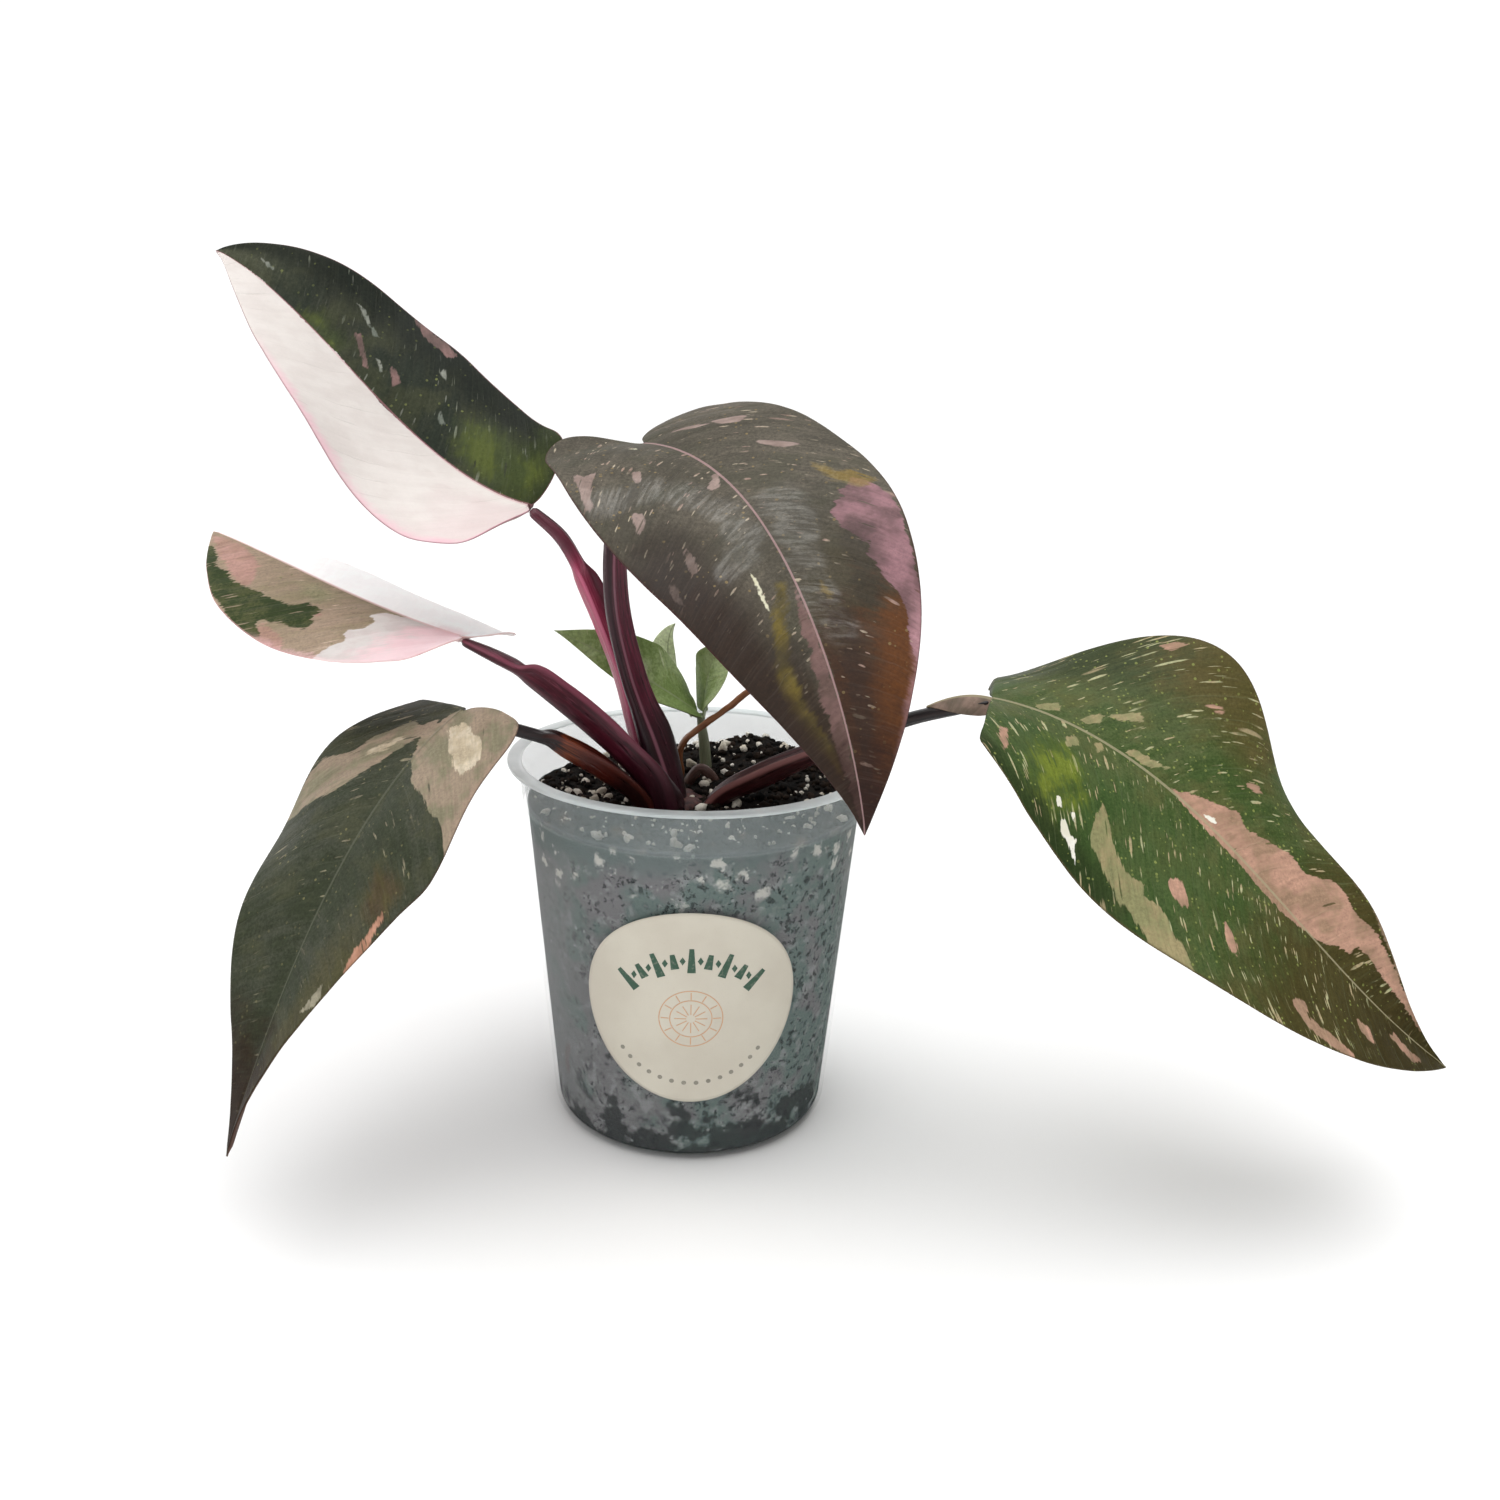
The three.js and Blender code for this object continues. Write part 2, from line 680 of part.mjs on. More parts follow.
function mixSolid() {
  const { segments, wall } = POT;
  const random = seededRandom(MIX.seed);
  const outline = potOutline(wall + GAP, MIX.level).slice(1);
  const edgeRadius = outline.at(-1)[0];
  const positions = [];
  const triangles = [];
  const rings = [];
  const addRing = (radius, heightAt) => {
    const ring = [];
    for (let k = 0; k < segments; k += 1) {
      const turn = (2 * Math.PI * k) / segments;
      const [x, y] = [radius * Math.cos(turn), radius * Math.sin(turn)];
      ring.push(positions.push([x, y, heightAt(x, y)]) - 1);
    }
    rings.push(ring);
  };
  for (const [radius, height] of outline) addRing(radius, () => height);
  for (let i = MIX.rings - 1; i >= 1; i -= 1) {
    const radius = (edgeRadius * i) / MIX.rings;
    addRing(radius, (x, y) => {
      const away = Math.hypot(x - MIX.moundCentre[0], y - MIX.moundCentre[1]) / MIX.moundSpread;
      const mound = MIX.moundHeight * Math.exp(-(away ** 2) / 2) * Math.min(1, (MIX.rings - i) / 2);
      return MIX.level + mound + MIX.lump * random() ** 2;
    });
  }
  for (let i = 0; i < rings.length - 1; i += 1) {
    for (let k = 0; k < segments; k += 1) {
      const next = (k + 1) % segments;
      triangles.push([rings[i][k], rings[i][next], rings[i + 1][next]]);
      triangles.push([rings[i][k], rings[i + 1][next], rings[i + 1][k]]);
    }
  }
  const bottom = positions.push([0, 0, outline[0][1]]) - 1;
  const top = positions.push([0, 0, MIX.level]) - 1;
  for (let k = 0; k < segments; k += 1) {
    const next = (k + 1) % segments;
    triangles.push([bottom, rings[0][next], rings[0][k]]);
    triangles.push([top, rings.at(-1)[k], rings.at(-1)[next]]);
  }
  return solidFrom(positions, triangles);
}

function crownSolid(extra = 0) {
  const { centre, radius, top, bottom } = CROWN;
  const profile = [
    [0, bottom - extra],
    [0.4 * radius + extra, bottom - extra],
    [0.7 * radius + extra, mixed(bottom, top, 0.3)],
    [0.95 * radius + extra, mixed(bottom, top, 0.75)],
    [radius + extra, top - 2],
    [0.85 * radius + extra, top + extra * 20],
    [0, top + extra * 20],
  ];
  return solidOf(lathe(profile, 20).translate(centre[0], centre[1], 0));
}

// The sticker, as rings of an egg wrapped round the wall.
function stickerSolid() {
  const { centreHeight, height, width, topHeavy, thickness, segments, rings } = STICKER;
  const faces = [GAP, GAP + thickness];
  const positions = [];
  const triangles = [];
  const place = (share, turn, lift) => {
    const z = centreHeight + (share * height * Math.sin(turn)) / 2;
    const across = (share * width * Math.cos(turn) * (1 + topHeavy * Math.sin(turn))) / 2;
    const radius = potRadiusAt(z) + lift;
    const around = across / potRadiusAt(z);
    return [radius * Math.sin(around), -radius * Math.cos(around), z];
  };
  for (const lift of faces) {
    positions.push(place(0, 0, lift));
    for (let i = 1; i <= rings; i += 1) {
      for (let k = 0; k < segments; k += 1) {
        positions.push(place(i / rings, (2 * Math.PI * k) / segments, lift));
      }
    }
  }
  const face = 1 + rings * segments;
  const at = (side, ring, k) => side * face + 1 + (ring - 1) * segments + (k % segments);
  for (const side of [0, 1]) {
    const add = (a, b, c) => triangles.push(side === 1 ? [a, b, c] : [a, c, b]);
    for (let k = 0; k < segments; k += 1) {
      add(side * face, at(side, 1, k), at(side, 1, k + 1));
      for (let ring = 1; ring < rings; ring += 1) {
        add(at(side, ring, k), at(side, ring + 1, k), at(side, ring + 1, k + 1));
        add(at(side, ring, k), at(side, ring + 1, k + 1), at(side, ring, k + 1));
      }
    }
  }
  for (let k = 0; k < segments; k += 1) {
    triangles.push([at(0, rings, k), at(0, rings, k + 1), at(1, rings, k + 1)]);
    triangles.push([at(0, rings, k), at(1, rings, k + 1), at(1, rings, k)]);
  }
  return solidFrom(positions, triangles);
}

// The plant, with each piece cut clear of those made before it

function cutClear(solid, others) {
  return largestBody(others.reduce((left, other) => left.subtract(other), solid));
}

const plant = new THREE.Group();

function addPiece(name, solid, color, roughness) {
  const material = new THREE.MeshStandardMaterial({ color, roughness, metalness: 0 });
  const mesh = new THREE.Mesh(geometryOf(solid), material);
  mesh.name = name;
  plant.add(mesh);
}

const COLOURS = {
  leaf_upper_left: 0x4a5240,
  leaf_centre: 0x4c4238,
  leaf_middle_left: 0xa09a80,
  leaf_lower_left: 0x444a3e,
  leaf_right: 0x4c5a36,
};

FOLDED_LOBE.spine = spineOf(FOLDED_LOBE);
Object.assign(FOLDED_LOBE, SMALL_BLADE);

const grownBlades = [bladeSolid(FOLDED_LOBE, GAP)];
for (const leaf of LEAVES) {
  leaf.spine = spineOf(leaf);
  const blade = bladeSolid(leaf);
  const whole = leaf.name === "leaf_right" ? blade.add(bladeSolid(FOLDED_LOBE)) : blade;
  grownBlades.push(bladeSolid(leaf, GAP));
  addPiece(leaf.name, whole, COLOURS[leaf.name], 0.4);
}

const grownStems = [];
for (const stalk of STALKS) {
  addPiece(stalk.name, cutClear(stalkSolid(stalk), [...grownBlades, ...grownStems]), 0x4a1626, 0.45);
  grownStems.push(stalkSolid(stalk, GAP));
}

for (const leaf of SHOOT_LEAVES) {
  Object.assign(leaf, SMALL_BLADE);
  leaf.spine = spineOf(leaf);
  addPiece(leaf.name, cutClear(bladeSolid(leaf), grownStems), 0x6f8050, 0.5);
  grownBlades.push(bladeSolid(leaf, GAP));
}

for (const stem of [SHOOT_STEM, ...ROOTS]) {
  const color = stem === SHOOT_STEM ? 0x7d8a5a : 0x6b4028;
  addPiece(stem.name, cutClear(stalkSolid(stem), [...grownBlades, ...grownStems]), color, 0.6);
  grownStems.push(stalkSolid(stem, GAP));
}

addPiece("crown", cutClear(crownSolid(), grownStems), 0x3a1a1e, 0.6);
addPiece("potting_mix", cutClear(mixSolid(), [...grownStems, crownSolid(GAP)]), 0x1d1916, 0.95);
addPiece("pot", potSolid(), 0xb9c4c4, 0.4);
addPiece("sticker", stickerSolid(), 0xcfc7b8, 0.7);

export default plant;
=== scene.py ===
"""Looks of a potted philodendron: fine leaves, stalks, mix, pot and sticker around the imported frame."""

import math
from collections import namedtuple

import bmesh
import bpy
import numpy as np
from mathutils import Matrix


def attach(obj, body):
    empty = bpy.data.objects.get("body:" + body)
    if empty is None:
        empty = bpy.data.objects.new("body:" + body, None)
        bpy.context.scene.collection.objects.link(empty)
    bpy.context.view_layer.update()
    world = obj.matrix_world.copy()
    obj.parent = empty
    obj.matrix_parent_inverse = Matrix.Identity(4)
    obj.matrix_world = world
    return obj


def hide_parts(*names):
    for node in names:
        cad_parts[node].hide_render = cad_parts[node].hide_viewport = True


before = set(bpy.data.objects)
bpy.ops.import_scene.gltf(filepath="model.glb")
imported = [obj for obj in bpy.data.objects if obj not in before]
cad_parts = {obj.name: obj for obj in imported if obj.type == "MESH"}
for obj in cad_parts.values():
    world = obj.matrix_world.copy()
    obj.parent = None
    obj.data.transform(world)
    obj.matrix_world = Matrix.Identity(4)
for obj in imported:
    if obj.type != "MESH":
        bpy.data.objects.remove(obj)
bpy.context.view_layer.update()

# Lengths are in millimetres until a mesh is made, angles in degrees and colours in screen values of 0 to 255.
MM = 0.001

POT = dict(
    height=122.5, rim_radius=60, rim_thickness=1.2, top_radius=56.4, bottom_radius=46.1, fillet=6, wall=1.1,
    band_start=107,
)
DRAIN_HOLES = dict(count=6, ring=28, radius=4)
MIX = dict(level=108.5, mound=8, centre=(26, 36), spread=20, gap=0.3, crumbs=1500, perlite=360)
STICKER = dict(centre=57, height=66, width=67, top_heavy=0.08, lift=0.3, thickness=0.4)
CROWN = dict(centre=(-7, -6), radius=12, top=110, bottom=60)
VEIN_STEP = 9.5

# The print's arc and row are a height and a radius, and its rosette a height on the sticker's middle line.
PRINT = dict(arc=(46, 28), rosette=54, ring_width=0.32, row=(58, 27))

# The camera's place in metres, and its focal length and frame in pixels. A lamp is place, target and power.
CAMERA = dict(place=(0, -0.45, 0.26), yaw=2.27, pitch=16.78, roll=1.52, focus=1452, frame=1500)
LAMPS = dict(
    key=((-0.9, -1.2, 1.3), (0, 0, 0.12), 7),
    fill=((0.5, -1.6, 0.7), (0, 0, 0.12), 4),
    side=((-1.2, 0.8, 0.55), (0, 0, 0.15), 6),
)

# The plant's form

# Half a blade: its width, the length of its basal lobe, where along the blade it is widest, its fullness
# towards the tip, how far the lobe lifts, its fold and curl at base and tip, and the wave of its margin, as
# height, count and phase.
Half = namedtuple("Half", "width lobe belly full lift fold curl wave")

# A leaf's heading, pitch and roll are given at its base, middle and tip. A dent is x, y, radius and depth on
# the flat blade, and a shine or shadow x, y and radius. A shine spot lowers the roughness and paints a pale
# sheen, a painted highlight, into the colour; a shadow spot paints shade into it.
LEAVES = dict(
    leaf_upper_left=dict(
        base=(-53, 6.5, 200.5), length=146, heading=(144, 158, 139), pitch=(5, 42, 14), roll=(-38, -28, -42),
        left=Half(37.5, 7, 0.16, 0.01, 2.5, (25, 17), (-15, -10), (4, 1.7, 130)),
        right=Half(30.5, 5, 0.33, 0.3, 0, (26, 19), (-12, -20), (2, 1.9, -148)),
    ),
    leaf_centre=dict(
        base=(-16, -11.5, 221.5), length=154, heading=(-52, -60, -48), pitch=(3, -39, -79), roll=(14, 22, 24),
        dents=[(62, -23, 21, -1.3), (65, -27, 12, 2.6), (72, 13, 7, 0.7), (86, 10, 6, 0.8), (99, 13, 6, 0.7)],
        shadow=[(60, -28, 10), (72, -27, 7), (80, 20, 8), (93, 17, 6), (104, -8, 6)],
        shine=[
            (36, -32, 8), (38, -22, 8), (45, -14, 8), (55, -8, 7), (65, -7, 7), (73, -11, 6), (76, -17, 5),
            (60, 8, 8), (70, 8, 8), (80, 6, 7), (90, 5, 7), (100, 6, 6),
        ],
        left=Half(38, 11, 0.29, 0.15, -1, (13, 8), (-19, -20), (1.5, 2, 54)),
        right=Half(41, 12, 0.25, 0.04, 3.5, (15, 5), (-18, -22), (1.5, 2.1, 16)),
    ),
    leaf_middle_left=dict(
        base=(-73.5, -6.5, 161.5), length=120, heading=(146, 145, 138), pitch=(5, 12, 6), roll=(0, -8, -8),
        left=Half(35, 8, 0.22, 0.22, 1.5, (7, -3), (-30, -30), (0.5, 1.9, 36)),
        right=Half(27, 10, 0.28, 0, 2, (5, 0), (-31, -29), (0.5, 2, 0)),
    ),
    leaf_lower_left=dict(
        base=(-70, -26, 143), length=146, heading=(221, 231, 210), pitch=(-29, -54, -70), roll=(8, 3, 9),
        left=Half(36, 4, 0.37, -0.1, -0.7, (6, 13), (-25, -16), (2, 1.7, -60)),
        right=Half(38, 5, 0.28, 0.03, -6, (6, 13), (-15, -12), (4, 1.9, 0)),
    ),
    leaf_right=dict(
        base=(90, -27, 149.5), length=181, heading=(-14, -19, 4), pitch=(-7, -43, -34), roll=(-3, 23, 27),
        left=Half(46, 1.5, 0.28, 0.02, -3, (13, 23), (0, -8), (14.5, 1.7, -71)),
        right=Half(46.5, 1, 0.2, 0.27, 0, (0, 7), (-32, -12), (6, 1.2, 142)),
    ),
)

FOLDED_LOBE = dict(
    base=(90, -27, 149.7), length=21, heading=(166, 166, 168), pitch=(14, -14, -30), roll=(-8, -8, -8),
    thickness=0.6, ridge=0.5, veins=0.1,
    left=Half(6.5, 1, 0.25, 0.12, 0, (-30, -20), (-55, -30), (0, 1, 0)),
    right=Half(5.5, 1, 0.3, 0.12, 0, (-30, -20), (-55, -30), (0, 1, 0)),
)

SHOOT_LEAVES = dict(
    shoot_leaf_left=dict(
        base=(0.2, 17.6, 132), length=55, heading=(206, 182, 174), pitch=(37, 31, 20), roll=(-15, -62, -90),
        left=Half(6.9, 1, 0.36, 0.06, 0, (10, 8), (-12, -10), (0.6, 1.5, 0)),
        right=Half(13, 1, 0.4, 0.08, 0, (10, 8), (-12, -10), (0.6, 1.5, 90)),
    ),
    shoot_leaf_right=dict(
        base=(3.4, 17.4, 132.6), length=25, heading=(-32, -27, 10), pitch=(95, 77, 72), roll=(40, 49, 85),
        left=Half(12, 1, 0.4, 0.06, 0, (14, 8), (-12, -10), (0.5, 1.3, 0)),
        right=Half(14.5, 1, 0.34, 0.06, 0, (14, 8), (-12, -10), (0.5, 1.3, 60)),
    ),
    shoot_leaf_back=dict(
        base=(-1.1, 20.2, 130), length=37.5, heading=(118, 128, 127), pitch=(20, 65, 135), roll=(28, 6, -100),
        left=Half(10, 1, 0.5, 0.12, 0, (14, 8), (-12, -10), (0.4, 1.3, 0)),
        right=Half(3.8, 1, 0.5, 0.12, 0, (14, 8), (-12, -10), (0.4, 1.3, 60)),
    ),
)

# Each stalk has the way its groove faces, its colours, its stations (x, y, z, width, depth, wing height and
# hollow depth) and its zones.
STALKS = dict(
    stalk_centre=dict(
        face=(0.6, -0.75, 0.3), body=((54, 14, 27), (106, 26, 52)), ridge=(158, 84, 106), edge=(128, 48, 72),
        stations=[
            (-6.5, -8, 104, 11, 9, 0, 0.5), (-9, -8, 117, 11.5, 9.5, 0.5, 1.5),
            (-13.3, -8, 131, 12, 9, 1.5, 2), (-17, -8.5, 141, 9.5, 7.5, 1.5, 2), (-20, -9, 151, 9, 6.5, 1, 2),
            (-24.5, -9.5, 171, 8.5, 6.5, 0.8, 1.8), (-25.2, -10.5, 191, 7.5, 6, 0.4, 1.2),
            (-23, -11, 206, 5, 4.6, 0, 0.5), (-20, -11.5, 215, 4.6, 4.4, 0, 0.3),
            (-16.5, -11.5, 220, 4, 3.4, 0, 0.2),
        ],
        zones=[
            ((44, 14, 24), 0.8, dict(run=(0.36, 0.24))), ((38, 20, 26), 0.85, dict(across=(-0.35, -0.8))),
            ((34, 18, 20), 0.8, dict(across=(0.3, 0.75), run=(0.34, 0.2))),
            ((160, 104, 120), 0.7, dict(across=(-0.5, -0.38, -0.3, -0.15), groove=(0, 0.3))),
            ((44, 24, 28), 0.6, dict(run=(0.75, 0.9))),
        ],
    ),
    stalk_middle_left=dict(
        face=(0.45, 0.25, 0.85), body=((50, 12, 24), (84, 24, 40)), ridge=(150, 78, 98), edge=(146, 72, 92),
        stations=[
            (-8.5, -12.5, 104, 12, 12, 0, 0), (-9.5, -13, 111, 14, 13, 0, 0.5),
            (-14, -14, 119.5, 15, 10.5, 2.5, 2.5), (-21.5, -14.5, 127, 15, 8, 4, 4.6),
            (-31, -13, 135.5, 13.5, 8, 4.5, 4.8), (-42, -11.5, 144, 11, 7.5, 4.5, 4.4),
            (-51, -10.5, 150.5, 9, 6.5, 3.5, 3), (-54.5, -10, 152.5, 5.4, 5, 0.3, 0.6),
            (-62, -9, 156, 4.8, 4.6, 0, 0.3), (-72.5, -6.8, 160.2, 3.6, 3, 0, 0.2),
        ],
        zones=[((118, 48, 66), 0.5, dict(across=(0.2, 0.9))), ((30, 10, 16), 0.8, dict(run=(0.42, 0.1)))],
    ),
    stalk_right=dict(
        face=(-0.4, 0.1, 0.9), body=((40, 15, 17), (62, 24, 26)), ridge=(104, 54, 54), edge=(150, 100, 96),
        edge_share=0.7,
        stations=[
            (2, -8, 104, 8, 7, 0, 0.5), (8, -9, 111.5, 10, 7.5, 1.5, 2.5), (21, -12, 119.3, 11, 8, 2.5, 3),
            (35, -15, 127, 10, 7, 2, 3), (48, -18, 133, 7, 5.5, 1, 1.5), (66, -21, 141.5, 5, 4.6, 0.2, 0.5),
            (80, -25, 146, 4.4, 4, 0, 0.3), (89.5, -27, 148.4, 3.6, 3, 0, 0.2),
        ],
        zones=[((12, 8, 8), 0.95, dict(run=(0.46, 0.58)))],
    ),
    stalk_lower_left=dict(
        face=(0.2, 0.1, 0.95), body=((22, 8, 9), (46, 15, 13)), ridge=(90, 40, 36), edge=(92, 40, 32),
        stations=[
            (-14, -14, 104, 8, 7, 0, 0.5), (-18, -17.5, 115, 9, 7, 1, 2), (-29, -21, 124.5, 11, 7.5, 2.5, 3),
            (-39.5, -22.5, 131, 9.5, 6.5, 2.5, 2.5), (-44, -23, 134, 7.5, 5.5, 1.5, 1.5),
            (-47.5, -23.5, 135, 5, 4.4, 0.3, 0.6), (-57, -25, 138, 4.4, 4.2, 0, 0.3),
            (-69.5, -26, 142, 3.6, 3, 0, 0.2),
        ],
        zones=[
            ((150, 72, 36), 0.85, dict(run=(0.43, 0.54, 0.57, 0.6), fine=(0.35, 0.65))),
            ((84, 26, 14), 0.6, dict(run=(0.26, 0.36, 0.46, 0.54))),
            ((20, 9, 11), 0.9, dict(run=(0.6, 0.68))),
        ],
    ),
    stalk_upper_left=dict(
        face=(0.8, -0.5, 0.2), body=((146, 44, 74), (188, 78, 110)), ridge=(216, 132, 158),
        edge=(208, 112, 142),
        stations=[
            (-12, 1, 104, 8, 6, 0, 0.5), (-15, 1.5, 117, 9, 6, 1.5, 2), (-19, 2.5, 130, 9, 6, 2, 3),
            (-24, 4, 148, 8.5, 5.5, 2.5, 3), (-30, 5, 164, 9, 6, 3, 3.4), (-36, 6, 178, 7.6, 6, 2.5, 2.6),
            (-38, 6, 183, 5, 4.6, 0.2, 0.5), (-43, 6, 191.3, 4.6, 4.4, 0, 0.3),
            (-52.1, 6.5, 199.3, 3.8, 3, 0, 0.2),
        ],
        zones=[
            ((56, 34, 38), 0.8, dict(run=(0.74, 0.86))), ((50, 26, 32), 0.8, dict(across=(0.1, 0.7))),
            ((92, 26, 48), 0.7, dict(run=(0.4, 0.15))),
        ],
    ),
)

THIN_STEMS = dict(
    shoot_stem=dict(
        face=(0, -1, 0), body=((104, 112, 86), (132, 136, 110)), ridge=(160, 162, 138), edge=(140, 140, 116),
        stations=[
            (4.2, 18, 100, 4, 4, 0, 0), (3.8, 18, 112, 4, 4, 0, 0), (2.9, 18, 122, 3.6, 3.6, 0, 0),
            (1.4, 18, 131.4, 2.3, 2.3, 0, 0),
        ],
    ),
    aerial_root=dict(
        face=(0, -1, 0), body=((104, 62, 34), (138, 88, 54)), ridge=(170, 122, 84), edge=(144, 96, 62),
        stations=[
            (-4, 3, 104, 2.6, 2.6, 0, 0), (-4.6, 3.2, 114, 2.4, 2.4, 0, 0), (-4.6, 2.6, 124, 2.2, 2.2, 0, 0),
            (0, 3, 129.5, 2.2, 2.2, 0, 0), (8, 4.5, 135, 2, 2, 0, 0), (16.5, 8, 141, 2, 2, 0, 0),
            (25, 11, 146, 1.4, 1.4, 0, 0),
        ],
    ),
    arched_root=dict(
        face=(0, -1, 0), body=((58, 40, 36), (92, 66, 58)), ridge=(126, 98, 88), edge=(96, 72, 64),
        stations=[
            (-3, 9.5, 102, 3, 3, 0, 0), (-1.8, 9.5, 110, 3.4, 3.4, 0, 0), (2, 9.5, 114.6, 3.8, 3.8, 0, 0),
            (6.6, 9.5, 111, 3.2, 3.2, 0, 0), (8, 9.5, 102, 2.4, 2.4, 0, 0),
        ],
    ),
)

# Looks

